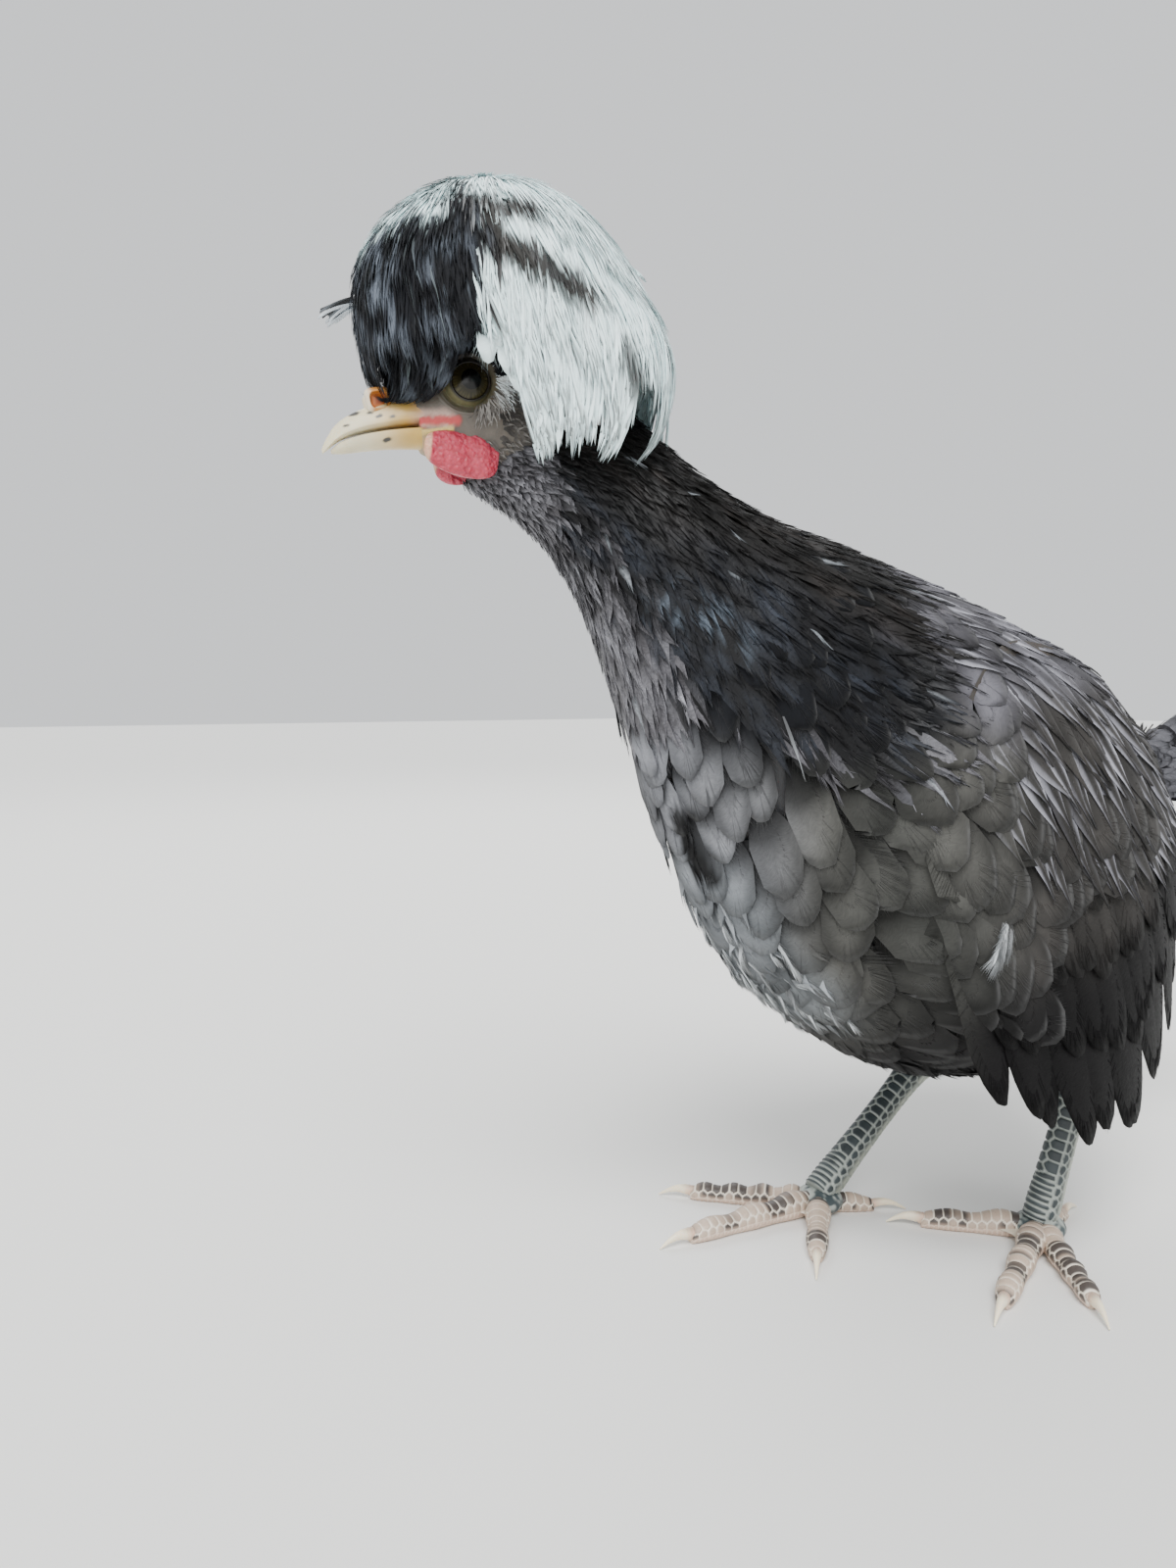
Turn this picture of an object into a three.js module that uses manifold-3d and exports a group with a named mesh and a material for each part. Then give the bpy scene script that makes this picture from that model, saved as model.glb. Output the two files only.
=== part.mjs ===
// Life-size still model of a polish crested chicken, a young bird that stands and leans forward.
// Millimetres, +Z up. The bird faces -X, its left side faces -Y, and its feet rest on z = 0.
import * as THREE from "three";
import { mergeVertices } from "three/addons/utils/BufferGeometryUtils.js";
import Module from "manifold-3d";

const wasm = await Module();
wasm.setup();

// Driving dimensions
const GAP = 0.3; // between pieces that meet face to face
const LEFT = -1; // side of the bird along Y
const RIGHT = 1;

// Trunk sections from the rump to the head: back line, underline, half width, shift along Y
const TRUNK = [
  { back: [101, 164], under: [104, 150], half: 7, y: 0 },
  { back: [94, 171], under: [97, 122], half: 17, y: 0 },
  { back: [80, 178], under: [82, 90], half: 28, y: 0 },
  { back: [62, 186], under: [54, 64], half: 38, y: 0 },
  { back: [40, 194], under: [20, 54], half: 45, y: 0 },
  { back: [16, 204], under: [-16, 58], half: 49, y: 0 },
  { back: [-8, 212.5], under: [-50, 75], half: 50, y: 0 },
  { back: [-32, 221], under: [-79, 99], half: 47, y: 0 },
  { back: [-54, 227], under: [-97, 127], half: 41, y: 0 },
  { back: [-74, 232], under: [-110, 156], half: 34, y: 1 },
  { back: [-89, 238], under: [-120, 183], half: 28, y: 3 },
  { back: [-101, 245], under: [-130, 206], half: 23.5, y: 5 },
  { back: [-110, 253], under: [-141, 222], half: 20, y: 8 },
  { back: [-121, 262], under: [-154, 231], half: 16.5, y: 10 },
  { back: [-134, 268], under: [-166, 236.5], half: 12.5, y: 11 },
];
const TRUNK_POWER = 2.15; // superellipse power of a section
const TRUNK_SIDES = 18;
const NECK_FROM = 9.2 / 14; // share of the trunk at which the neck begins
const TORSO_RINGS = 15;
const NECK_RINGS = 8;
const POLE = 0.04; // share of a round form's length that is cut flat at each end

// Head, in its own axes: forward along the bill, out to the right, up; origin midway between the eyes
const HEAD_AT = [-165.4, 11.9, 261];
const HEAD_YAW = 15; // degrees that the bill turns to the bird's right
const HEAD_PITCH = 12; // degrees that it points down
const HEAD_MESH = { rings: 10, sides: 14, power: 2.15 };
const HEAD_PROFILE = [
  { s: -26, top: 5, bottom: -8, half: 5 },
  { s: -21, top: 14, bottom: -17, half: 10.5 },
  { s: -13, top: 18, bottom: -22, half: 13.5 },
  { s: -5, top: 18.5, bottom: -23.5, half: 14 },
  { s: 1, top: 16.5, bottom: -22, half: 13 },
  { s: 6, top: 11.5, bottom: -19.5, half: 11.4 },
  { s: 10, top: 6, bottom: -17, half: 9.8 },
  { s: 14, top: 3, bottom: -14.2, half: 7.8 },
];
const EYE = { out: 12.4, radius: 6.3, sink: 4.9, rings: 7, sides: 9 };
// Lid ring: distance round the eye, its stretch ahead and up, half thickness, depth and its sink
const LID = { opening: 5.2, long: 1.08, high: 0.86, half: 1.1, deep: 1.15, sink: 0.4 };
const LID_MESH = { stations: 12, sides: 5 };
const BILL_UPPER = [
  { s: 11, top: 2, bottom: -7.8, half: 8.2 },
  { s: 17, top: 1, bottom: -7, half: 6.9 },
  { s: 23, top: 0.2, bottom: -6.5, half: 5.5 },
  { s: 29, top: -0.9, bottom: -6.5, half: 4 },
  { s: 34, top: -3, bottom: -7.3, half: 2.7 },
  { s: 37.4, top: -6.2, bottom: -8.9, half: 1.4 },
  { s: 39.2, top: -8.7, bottom: -9.9, half: 0.4 },
];
const BILL_LOWER = [
  { s: 11, top: -8.2, bottom: -13.2, half: 7.4 },
  { s: 17, top: -7.4, bottom: -12.1, half: 6 },
  { s: 23, top: -6.9, bottom: -11.3, half: 4.6 },
  { s: 29, top: -6.9, bottom: -10.9, half: 3.2 },
  { s: 34, top: -7.7, bottom: -10.7, half: 2 },
  { s: 37, top: -9.3, bottom: -10.2, half: 0.6 },
];
const BILL_FLAT = 0.16; // share of a bill half's height that lies past its mouth edge
const BILL_MESH = { upper: { rings: 10, sides: 14 }, lower: { rings: 8, sides: 12 } };
const MOUTH = { height: 0.8, corner: [7, -10.6], front: [15, -7.5] };
const NOSTRIL = { ahead: 22.8, out: 3.2, up: 0.6, long: 3.2, wide: 2.3, high: 3.2 };
const NOSTRIL_HOLE = { shift: 0.8, long: 2.55, deep: 2.3, high: 1.5 };
const WATTLE = {
  [LEFT]: { ahead: 5.4, out: 8.8, up: -16.6, long: 9.6, deep: 6, thick: 3, tilt: 18 },
  [RIGHT]: { ahead: 4.8, out: 8.4, up: -16.2, long: 5.6, deep: 5.8, thick: 2.7, tilt: 4 },
};
const WATTLE_SKIN = { folds: 3, fold: 0.14, bulb: 0.07, pitch: 3.33, rings: 9, sides: 10 };

// Crest, in the head's axes: its middle, and how far it reaches from there every 30 degrees,
// from straight ahead up over the top and round below
const CREST_AT = [-16, 16];
const CREST_REACH = [40, 40.5, 37.5, 35, 34.5, 33.5, 37, 46, 50, 43, 37, 40];
const CREST_WIDE = 31;
const CREST_POWER = { up: 2, down: 3.2 }; // roundness of its outline above and below its middle
const CREST_CORE = [19, 16, 18]; // half sizes of the solid middle: ahead, out, up
// How far the feathers fall, in degrees from straight up, every 30 degrees from the bill to the nape
const CREST_FALL = [112, 104, 112, 146, 152, 148, 142];
const CREST_TIERS = [
  { share: 1, count: 19, wide: 5.4 },
  { share: 0.79, count: 17, wide: 5.8 },
  { share: 0.58, count: 14, wide: 6.2 },
  { share: 0.37, count: 9, wide: 6.6 },
  { share: 0.2, count: 4, wide: 7 },
];
const CREST_LONG = 50; // degrees of fall that one feather spans
const CREST_ROOT = 0.45; // least share of its fall at which a feather leaves the middle
const CREST_SUNK = 0.8; // share of the middle's least half size at which it is rooted
const CREST_VANE = { shares: [0, 0.36, 0.8, 1], widths: [0.2, 0.92, 0.95, 0.12] };
const CREST_VARY = { turn: 40, fall: 3, wide: 0.12, sink: 0.6, lift: 0.5 };
// Power by which a feather rises from the middle to the surface, and that of the topmost ones,
// which cross over the top from this many degrees behind it
const CREST_RISE = 0.2;
const CREST_TOP = { below: 34, rise: 0.5, behind: 12 };
const CREST_THICK = 0.7;
const CREST_TILT = 0.24; // rise of a feather's front edge over the next one
const CREST_LEVEL = 9; // how soon that rise is lost towards the bill and the nape
const ACROSS_HEAD = 60; // half width of the cuts that go through the whole head
// Outline of the bare face below the crest, as [ahead, up]
const FACE = [[32, -1], [13, -3], [9, -1.5], [5, 7], [-4, 7], [-6, -4], [-7, -24], [-8, -80], [32, -80]];

// Wing, as a sheet over the flank: where it reaches furthest out and how it curves in from there
const FLANK = { x: 5, z: 104, out: 56.5, front: 0.0011, rear: 0.0038, above: 0.0024, below: 0.0009 };
const FLANK_REST = { off: 3.6, turn: 0.0018, from: 16 }; // clear of the torso, and turned in at the rear
// Line of the shoulder and line of the flight feathers' tips, from the front to the rear, as [x, z]
const WING_TOP = [[-57, 160], [-42, 181], [-22, 193], [0, 194], [18, 188]];
const WING_TIPS = [[-27, 66], [7, 48], [42, 42], [74, 58], [102, 102]];
const WING_CORE = { start: -0.03, end: 0.42, high: 9, low: 3.2, edge: -0.6, rim: 0.45 };
const WING_CORE_EDGE = { drop: 4.5, thin: 1.6 }; // lower along the shoulder line, thinner below
const WING_CORE_MESH = { rows: 4, columns: 6 };
// Tiers of feathers: where they start and end on the way to the tips, half width, height
const WING_TIERS = [
  { from: 0.27, to: 1, wide: 10.8, lift: 0, shares: [0, 0.2, 0.45, 0.7, 0.94, 1] },
  { from: 0.17, to: 0.62, wide: 9.6, lift: 2.8, shares: [0, 0.33, 0.66, 0.92, 1] },
  { from: 0.08, to: 0.43, wide: 9, lift: 5.6, shares: [0, 0.45, 0.88, 1] },
];
const WING_COUNT = 8; // feathers in a tier
const WING_VARY = 0.015; // how much sooner a feather may end, as a share of the way to the tips
// Share of its full width that a vane has at its root, up to where it is full, near its tip, and there
const VANE_SHAPE = { root: 0.45, full: 0.55, shoulder: 0.86, blunt: 0.8, point: 0.03 };
const VANE_THICK = 0.6;
const VANE_TILT = 0.16; // rise of a vane's front edge over the next one

// Tail: where it leaves the rump, its rise in degrees, the slope of its two sides, the spacing of
// its feathers at the rump and at their tips
const TAIL = { x: 90, z: 157, rise: 18, slope: 52, tilt: 0.22, long: 108, root: 3.2, tip: 10.5 };
const TAIL_ROOT = [
  { along: -6, wide: 17, high: 16, down: -8 },
  { along: 8, wide: 15, high: 15, down: -8 },
  { along: 20, wide: 12, high: 12, down: -7 },
  { along: 32, wide: 7, high: 6, down: -5 },
];
const TAIL_VANE = { shares: [0, 0.35, 0.68, 0.93, 1], widths: [0.4, 0.8, 1, 0.72, 0.04], step: 2.5, vary: 2 };
const TAIL_FIRST = 0.95; // place of a side's first feather from the ridge, in feathers
const TAIL_ROWS = [
  { count: 6, start: 0, long: 108, wide: 8.4, lift: 0 },
  { count: 4, start: -2, long: 58, wide: 7.2, lift: 2 },
];

// Legs: knee, hock and foot pad of each side
const LEG = {
  [LEFT]: { knee: [-8, -30, 104], hock: [47, -29, 72], pad: [25.3, -26.2, 0], name: "left" },
  [RIGHT]: { knee: [-12, 29, 92], hock: [32, 29, 50], pad: [-25.3, 26.2, 0], name: "right" },
};
const LEG_DEEP = 1.12; // depth of a leg over its width
const THIGH = { widths: [10.45, 19, 18.7, 13.6, 9], above: 0.08, long: 0.96, sides: 16 };
const SHANK_WIDTHS = [4.6, 6.6, 5.15, 4.5, 4.35, 4.35, 4.5, 4.75, 5.15, 5.15];
const SHANK = { above: 3, end: 0.7, sides: 10 };
const PAD = { radius: 8.5, high: 9, middle: 0.42, half: 0.5 };
// Plates down the front of a shank: two staggered columns that merge into one near the toes
const SCUTE = { count: 8, first: 0.1, high: 0.7, edge: 0.14, groove: 0.25, merge: [0.5, 0.72] };
const SCUTE_SIDES = { from: 195, to: 345, near: 50, rim: 0.5 }; // degrees round the shank, front at 270

// Toes: degrees outward from straight ahead, length with no claw, radius at the root
const TOES = {
  [LEFT]: [
    { digit: 3, turn: 28, long: 49, thick: 4.4, joints: 3 },
    { digit: 2, turn: -42, long: 34, thick: 4.1, joints: 2 },
    { digit: 4, turn: 58, long: 41, thick: 4, joints: 4 },
    { digit: 1, turn: -165, long: 15, thick: 3.4, joints: 1 },
  ],
  [RIGHT]: [
    { digit: 3, turn: 3, long: 49, thick: 4.4, joints: 3 },
    { digit: 2, turn: -48, long: 34, thick: 4.1, joints: 2 },
    { digit: 4, turn: 42, long: 41, thick: 4, joints: 4 },
    { digit: 1, turn: -150, long: 15, thick: 3.4, joints: 1 },
  ],
};
const TOE = { root: 0.5, taper: 0.68, end: 0.82, rest: 0.92, sides: 8 };
const TOE_PLATE = { pitch: 8, high: 0.5, knuckle: 0.09, edge: 0.25, from: 200, near: 45, rim: 0.6 };
// Claw: thick is for a toe as thick as toe; it arches, and comes down to its point near the floor
const CLAW = { long: 12.5, thick: 2.3, toe: 4.4, point: 0.35, low: 0.6, arch: 1.6, flat: 0.8 };
const CLAW_MESH = { sides: 5, steps: 4 };

// Colours
const COLOURS = {
  plumage: [0x3d3b3a, 0.8],
  dark: [0x202226, 0.7],
  white: [0xe8e6e0, 0.8],
  face: [0x77756a, 0.7],
  flesh: [0xc83c48, 0.6],
  horn: [0xe2d3a4, 0.45],
  scale: [0x77847d, 0.55],
  claw: [0xe6dcc4, 0.4],
  eye: [0x1c1614, 0.1],
};

// Small helpers
const vec = (x, y, z) => new THREE.Vector3(x, y, z);
const lerp = THREE.MathUtils.lerp;
const radians = THREE.MathUtils.degToRad;
const signedPower = (value, power) => Math.sign(value) * Math.abs(value) ** power;

// Seeded random numbers from -1 to 1
let seed = 11;
function random() {
  seed = (seed * 16807) % 2147483647;
  return (2 * seed) / 2147483647 - 1;
}

// Smooth value at t, 0 to 1, through equally spaced numbers
function through(list, t) {
  const place = t * (list.length - 1);
  const i = Math.min(Math.floor(place), list.length - 2);
  const f = place - i;
  const at = (k) => list[THREE.MathUtils.clamp(k, 0, list.length - 1)];
  const [a, b, c, d] = [at(i - 1), at(i), at(i + 1), at(i + 2)];
  const bend = (2 * a - 5 * b + 4 * c - d) * f * f;
  return 0.5 * (2 * b + (c - a) * f + bend + (3 * b - a - 3 * c + d) * f ** 3);
}

// Closed solid from points and triangles, turned to face outward
function solid(points, triangles) {
  const geometry = new THREE.BufferGeometry();
  geometry.setAttribute("position", new THREE.Float32BufferAttribute(points.flatMap((p) => p.toArray()), 3));
  geometry.setIndex(triangles.flat());
  const merged = mergeVertices(geometry, 1e-4);
  const made = (order) =>
    new wasm.Manifold(
      new wasm.Mesh({
        numProp: 3,
        vertProperties: merged.attributes.position.array,
        triVerts: new Uint32Array(order),
      }),
    );
  const order = Array.from(merged.index.array);
  const first = made(order);
  return first.volume() > 0 ? first : made(order.reverse());
}

// Solid through rings of equal count, with flat ends
function loft(rings) {
  const sides = rings[0].length;
  const points = rings.flat();
  const triangles = [];
  for (let i = 0; i < rings.length - 1; i++) {
    for (let j = 0; j < sides; j++) {
      const next = (j + 1) % sides;
      const [a, b] = [i * sides + j, i * sides + next];
      triangles.push([a, b, a + sides], [b, b + sides, a + sides]);
    }
  }
  for (const [start, flip] of [[0, true], [(rings.length - 1) * sides, false]]) {
    const middle = points.length;
    const ring = points.slice(start, start + sides);
    points.push(ring.reduce((sum, p) => sum.add(p), vec(0, 0, 0)).divideScalar(sides));
    for (let j = 0; j < sides; j++) {
      const [a, b] = [start + j, start + ((j + 1) % sides)];
      triangles.push(flip ? [b, a, middle] : [a, b, middle]);
    }
  }
  return solid(points, triangles);
}

// Superellipse ring round a centre, with its two half axes as vectors
function ringOf(centre, side, up, sides, power) {
  return Array.from({ length: sides }, (_, k) => {
    const angle = (2 * Math.PI * (k + 0.5)) / sides;
    return centre
      .clone()
      .addScaledVector(side, signedPower(Math.cos(angle), 2 / power))
      .addScaledVector(up, signedPower(Math.sin(angle), 2 / power));
  });
}

// Solid between two like grids of points, its outer and inner faces split alike
function slab(outer, inner) {
  const rows = outer.length;
  const columns = outer[0].length;
  const points = [...outer.flat(), ...inner.flat()];
  const under = rows * columns;
  const triangles = [];
  for (let i = 0; i < rows - 1; i++) {
    for (let j = 0; j < columns - 1; j++) {
      const a = i * columns + j;
      for (const [p, q, r] of [[a, a + 1, a + columns], [a + 1, a + columns + 1, a + columns]]) {
        triangles.push([p, q, r], [p + under, r + under, q + under]);
      }
    }
  }
  const rim = [];
  for (let j = 0; j < columns - 1; j++) rim.push(j);
  for (let i = 0; i < rows - 1; i++) rim.push(i * columns + columns - 1);
  for (let j = columns - 1; j > 0; j--) rim.push((rows - 1) * columns + j);
  for (let i = rows - 1; i > 0; i--) rim.push(i * columns);
  rim.forEach((a, k) => {
    const b = rim[(k + 1) % rim.length];
    triangles.push([b, a, a + under], [b, a + under, b + under]);
  });
  return solid(points, triangles);
}

// Feather: stations { at, across } from its root, across being half its width, then its tip
function plume(stations, thick) {
  const tip = stations.length - 1;
  const points = [];
  for (const face of [0.5, -0.5]) {
    stations.forEach(({ at, across }, i) => {
      const before = stations[Math.max(i - 1, 0)].at;
      const after = stations[Math.min(i + 1, tip)].at;
      const normal = across.clone().cross(after.clone().sub(before)).setLength(thick * face);
      const middle = at.clone().add(normal);
      if (i < tip) points.push(middle.clone().sub(across), middle.clone().add(across));
      else points.push(middle);
    });
  }
  const under = 2 * tip + 1;
  const faces = [];
  for (let i = 0; i < tip - 1; i++) {
    const a = 2 * i;
    faces.push([a, a + 1, a + 2], [a + 1, a + 3, a + 2]);
  }
  faces.push([2 * tip - 2, 2 * tip - 1, 2 * tip]);
  const rim = [];
  for (let i = 0; i < tip; i++) rim.push(2 * i);
  rim.push(2 * tip);
  for (let i = tip - 1; i >= 0; i--) rim.push(2 * i + 1);
  const triangles = [...faces, ...faces.map(([a, b, c]) => [a + under, c + under, b + under])];
  rim.forEach((a, k) => {
    const b = rim[(k + 1) % rim.length];
    triangles.push([a, b, b + under], [a, b + under, a + under]);
  });
  return solid(points, triangles);
}

// Solid along a path of stations { at, wide, high }, with a steady sideways direction. relief
// raises the ring's corners, given their station and their angle in degrees.
function tube(stations, sideways, sides, relief = () => 0) {
  const rings = stations.map((station, i) => {
    const before = stations[Math.max(i - 1, 0)].at;
    const after = stations[Math.min(i + 1, stations.length - 1)].at;
    const ahead = after.clone().sub(before).normalize();
    const up = ahead.clone().cross(sideways).normalize();
    const side = up.clone().cross(ahead).normalize();
    side.multiplyScalar(station.wide);
    up.multiplyScalar(station.high);
    return ringOf(station.at, side, up, sides, 2).map((corner, k) => {
      const out = corner.clone().sub(station.at);
      return corner.add(out.setLength(relief(i, (360 * (k + 0.5)) / sides)));
    });
  });
  return loft(rings);
}

// Ellipsoid by its centre and half sizes along three directions
function ball(centre, axes, sizes, rings, sides) {
  const list = [];
  for (let i = 0; i <= rings; i++) {
    const angle = Math.PI * THREE.MathUtils.clamp(i / rings, POLE, 1 - POLE);
    const middle = centre.clone().addScaledVector(axes[0], -sizes[0] * Math.cos(angle));
    const side = axes[1].clone().multiplyScalar(sizes[1] * Math.sin(angle));
    const up = axes[2].clone().multiplyScalar(sizes[2] * Math.sin(angle));
    list.push(ringOf(middle, side, up, sides, 2));
  }
  return loft(list);
}

const largest = (made) =>
  made.decompose().reduce((best, piece) => (piece.volume() > best.volume() ? piece : best));
const cut = (made, ...others) => largest(others.reduce((rest, other) => rest.subtract(other), made));
const join = (...pieces) => wasm.Manifold.union(pieces);

// Trunk: torso and neck
function trunkRing(t, grow = 0, shift = 0) {
  const value = (pick) => through(TRUNK.map(pick), t);
  const back = vec(value((s) => s.back[0]), value((s) => s.y), value((s) => s.back[1]));
  const under = vec(value((s) => s.under[0]), value((s) => s.y), value((s) => s.under[1]));
  const up = back.clone().sub(under).multiplyScalar(0.5);
  const ahead = up.clone().cross(vec(0, 1, 0)).normalize();
  const centre = back.add(under).multiplyScalar(0.5).addScaledVector(ahead, shift);
  const side = vec(0, value((s) => s.half) + grow, 0);
  up.setLength(up.length() + grow);
  return ringOf(centre, side, up, TRUNK_SIDES, TRUNK_POWER);
}

function trunk(from, to, rings, { grow = 0, shifts = [0, 0] } = {}) {
  const list = [];
  for (let i = 0; i < rings; i++) {
    const shift = i === 0 ? shifts[0] : i === rings - 1 ? shifts[1] : 0;
    list.push(trunkRing(lerp(from, to, i / (rings - 1)), grow, shift));
  }
  return loft(list);
}

const torsoBody = trunk(0, NECK_FROM, TORSO_RINGS);
const torsoRoom = trunk(0, NECK_FROM, TORSO_RINGS, { grow: GAP, shifts: [-GAP, GAP] });
const neckBody = trunk(NECK_FROM, 1, NECK_RINGS, { shifts: [GAP, 0] });
const neckRoom = trunk(NECK_FROM, 1, NECK_RINGS, { grow: GAP, shifts: [0, GAP] });

// Head axes
const headTurn = new THREE.Matrix4().makeBasis(
  vec(
    -Math.cos(radians(HEAD_YAW)) * Math.cos(radians(HEAD_PITCH)),
    Math.sin(radians(HEAD_YAW)) * Math.cos(radians(HEAD_PITCH)),
    -Math.sin(radians(HEAD_PITCH)),
  ),
  vec(Math.sin(radians(HEAD_YAW)), Math.cos(radians(HEAD_YAW)), 0),
  vec(0, 0, 1),
);
const headForward = new THREE.Vector3().setFromMatrixColumn(headTurn, 0);
const headOut = new THREE.Vector3().setFromMatrixColumn(headTurn, 1);
const headUp = headOut.clone().cross(headForward);
const inHead = (ahead, out, up) =>
  vec(...HEAD_AT)
    .addScaledVector(headForward, ahead)
    .addScaledVector(headOut, out)
    .addScaledVector(headUp, up);
const HEAD_AXES = [headForward, headOut, headUp];

// Loft along the bill's direction through { s, top, bottom, half } stations. flat is 1 where the
// lower half is pressed flat, -1 where the upper half is, and 0 for a whole ellipse.
function profile(stations, rings, sides, { power = 2, grow = 0, flat = 0 } = {}) {
  const list = [];
  for (let i = 0; i < rings; i++) {
    const t = i / (rings - 1);
    const value = (pick) => through(stations.map(pick), t);
    const end = i === 0 ? -grow : i === rings - 1 ? grow : 0;
    const [top, bottom] = [value((p) => p.top) + grow, value((p) => p.bottom) - grow];
    const share = flat === 0 ? 0.5 : flat > 0 ? BILL_FLAT : 1 - BILL_FLAT;
    const level = lerp(bottom, top, share);
    const ring = [];
    for (let k = 0; k < sides; k++) {
      const angle = (2 * Math.PI * (k + 0.5)) / sides;
      const up = signedPower(Math.sin(angle), 2 / power);
      const out = signedPower(Math.cos(angle), 2 / power) * (value((p) => p.half) + grow);
      ring.push(inHead(value((p) => p.s) + end, out, level + up * (up > 0 ? top - level : level - bottom)));
    }
    list.push(ring);
  }
  return loft(list);
}

// Solid of a three.js geometry, each corner set by place(x, y, z)
function solidOf(geometry, place) {
  geometry.deleteAttribute("normal");
  geometry.deleteAttribute("uv");
  const merged = mergeVertices(geometry, 1e-4);
  const points = [];
  for (let i = 0; i < merged.attributes.position.count; i++) {
    const p = new THREE.Vector3().fromBufferAttribute(merged.attributes.position, i);
    points.push(place(p.x, p.y, p.z));
  }
  const index = Array.from(merged.index.array);
  const triangles = [];
  for (let i = 0; i < index.length; i += 3) triangles.push(index.slice(i, i + 3));
  return solid(points, triangles);
}

// Prism across the head, from one [ahead, up] outline
function headPrism(outline, from, to) {
  const shape = new THREE.Shape(outline.map((p) => new THREE.Vector2(...p)));
  const geometry = new THREE.ExtrudeGeometry(shape, { depth: to - from, bevelEnabled: false });
  return solidOf(geometry, (ahead, up, out) => inHead(ahead, out + from, up));
}

const eyeCentre = (side) => inHead(0, side * (EYE.out - EYE.sink), 0);
const eyeBall = (side, grow = 0) =>
  ball(
    eyeCentre(side),
    [headOut, headForward, headUp],
    [EYE.radius + grow, EYE.radius + grow, EYE.radius + grow],
    EYE.rings,
    EYE.sides,
  );

// Lid ring round an eye
function lids(side) {
  const rings = [];
  for (let i = 0; i < LID_MESH.stations; i++) {
    const angle = (2 * Math.PI * i) / LID_MESH.stations;
    const spoke = headForward
      .clone()
      .multiplyScalar(Math.cos(angle) * LID.long)
      .addScaledVector(headUp, Math.sin(angle) * LID.high);
    const middle = inHead(0, side * (EYE.out - LID.sink), 0).addScaledVector(spoke, LID.opening);
    const outward = headOut.clone().multiplyScalar(side * LID.half * LID.deep);
    rings.push(ringOf(middle, spoke.clone().setLength(LID.half), outward, LID_MESH.sides, 2));
  }
  const points = rings.flat();
  const sides = rings[0].length;
  const triangles = [];
  for (let i = 0; i < LID_MESH.stations; i++) {
    const next = (i + 1) % LID_MESH.stations;
    for (let j = 0; j < sides; j++) {
      const [a, b] = [i * sides + j, i * sides + ((j + 1) % sides)];
      const [c, d] = [next * sides + j, next * sides + ((j + 1) % sides)];
      triangles.push([a, b, c], [b, d, c]);
    }
  }
  return solid(points, triangles);
}

// Raised rim of one nostril
function knob(side, grow = 0) {
  const at = inHead(NOSTRIL.ahead, side * NOSTRIL.out, NOSTRIL.up);
  return ball(at, HEAD_AXES, [NOSTRIL.long + grow, NOSTRIL.wide + grow, NOSTRIL.high + grow], 6, 8);
}

function billHalf(stations, { rings, sides }, flat, grow = 0) {
  return profile(stations, rings, sides, { flat, grow });
}

function bills() {
  const upper = billHalf(BILL_UPPER, BILL_MESH.upper, 1);
  const knobs = [LEFT, RIGHT].map((side) => {
    const ahead = NOSTRIL.ahead + NOSTRIL_HOLE.shift;
    const middle = inHead(ahead, side * (NOSTRIL.out + NOSTRIL.wide), NOSTRIL.up);
    const hole = ball(middle, HEAD_AXES, [NOSTRIL_HOLE.long, NOSTRIL_HOLE.deep, NOSTRIL_HOLE.high], 4, 6);
    return knob(side).subtract(hole);
  });
  return { upper: largest(join(upper, ...knobs)), lower: billHalf(BILL_LOWER, BILL_MESH.lower, -1) };
}

// Wattle: a hanging lobe with folds and bulbs, tilted down towards its back
function wattle(side) {
  const { ahead, out, up, long, deep, thick, tilt } = WATTLE[side];
  const lean = radians(tilt);
  const down = headUp.clone().multiplyScalar(Math.cos(lean)).addScaledVector(headForward, -Math.sin(lean));
  const rings = [];
  for (let i = 0; i <= WATTLE_SKIN.rings; i++) {
    const t = THREE.MathUtils.clamp(i / WATTLE_SKIN.rings, POLE, 1 - POLE);
    const round = Math.sin(Math.PI * t);
    const along = long * Math.cos(Math.PI * t);
    const middle = inHead(ahead + along * Math.cos(lean), side * out, up + along * Math.sin(lean));
    const wide = headOut.clone().multiplyScalar(thick * round);
    const high = down.clone().multiplyScalar(deep * round);
    rings.push(
      ringOf(middle, wide, high, WATTLE_SKIN.sides, 2).map((corner, k) => {
        const fold = Math.cos(2 * Math.PI * WATTLE_SKIN.folds * t);
        const bulb = Math.cos((2 * Math.PI * k) / WATTLE_SKIN.pitch + Math.PI * i);
        const outward = corner.clone().sub(middle);
        return corner.addScaledVector(outward, WATTLE_SKIN.fold * fold + WATTLE_SKIN.bulb * bulb);
      }),
    );
  }
  return loft(rings);
}

// Distance from the crest's middle to its surface, towards a unit direction [ahead, out, up]
function crestReach([ahead, out, up]) {
  const turn = (Math.atan2(up, ahead) / (2 * Math.PI) + 1) % 1;
  const count = CREST_REACH.length;
  const ringed = [-1, 0, 1, 2].map((k) => CREST_REACH[(Math.floor(turn * count) + k + count) % count]);
  const middle = through(ringed, (1 + (turn * count) % 1) / 3);
  const power = lerp(CREST_POWER.up, CREST_POWER.down, THREE.MathUtils.clamp(-up, 0, 1));
  return ((Math.hypot(ahead, up) / middle) ** power + Math.abs(out / CREST_WIDE) ** power) ** (-1 / power);
}

// Unit direction in the head's axes: degrees round from the bill, degrees down from the top
const crestWay = (turn, fall) => [
  Math.sin(radians(fall)) * Math.cos(radians(turn)),
  Math.sin(radians(fall)) * Math.sin(radians(turn)),
  Math.cos(radians(fall)),
];

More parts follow.
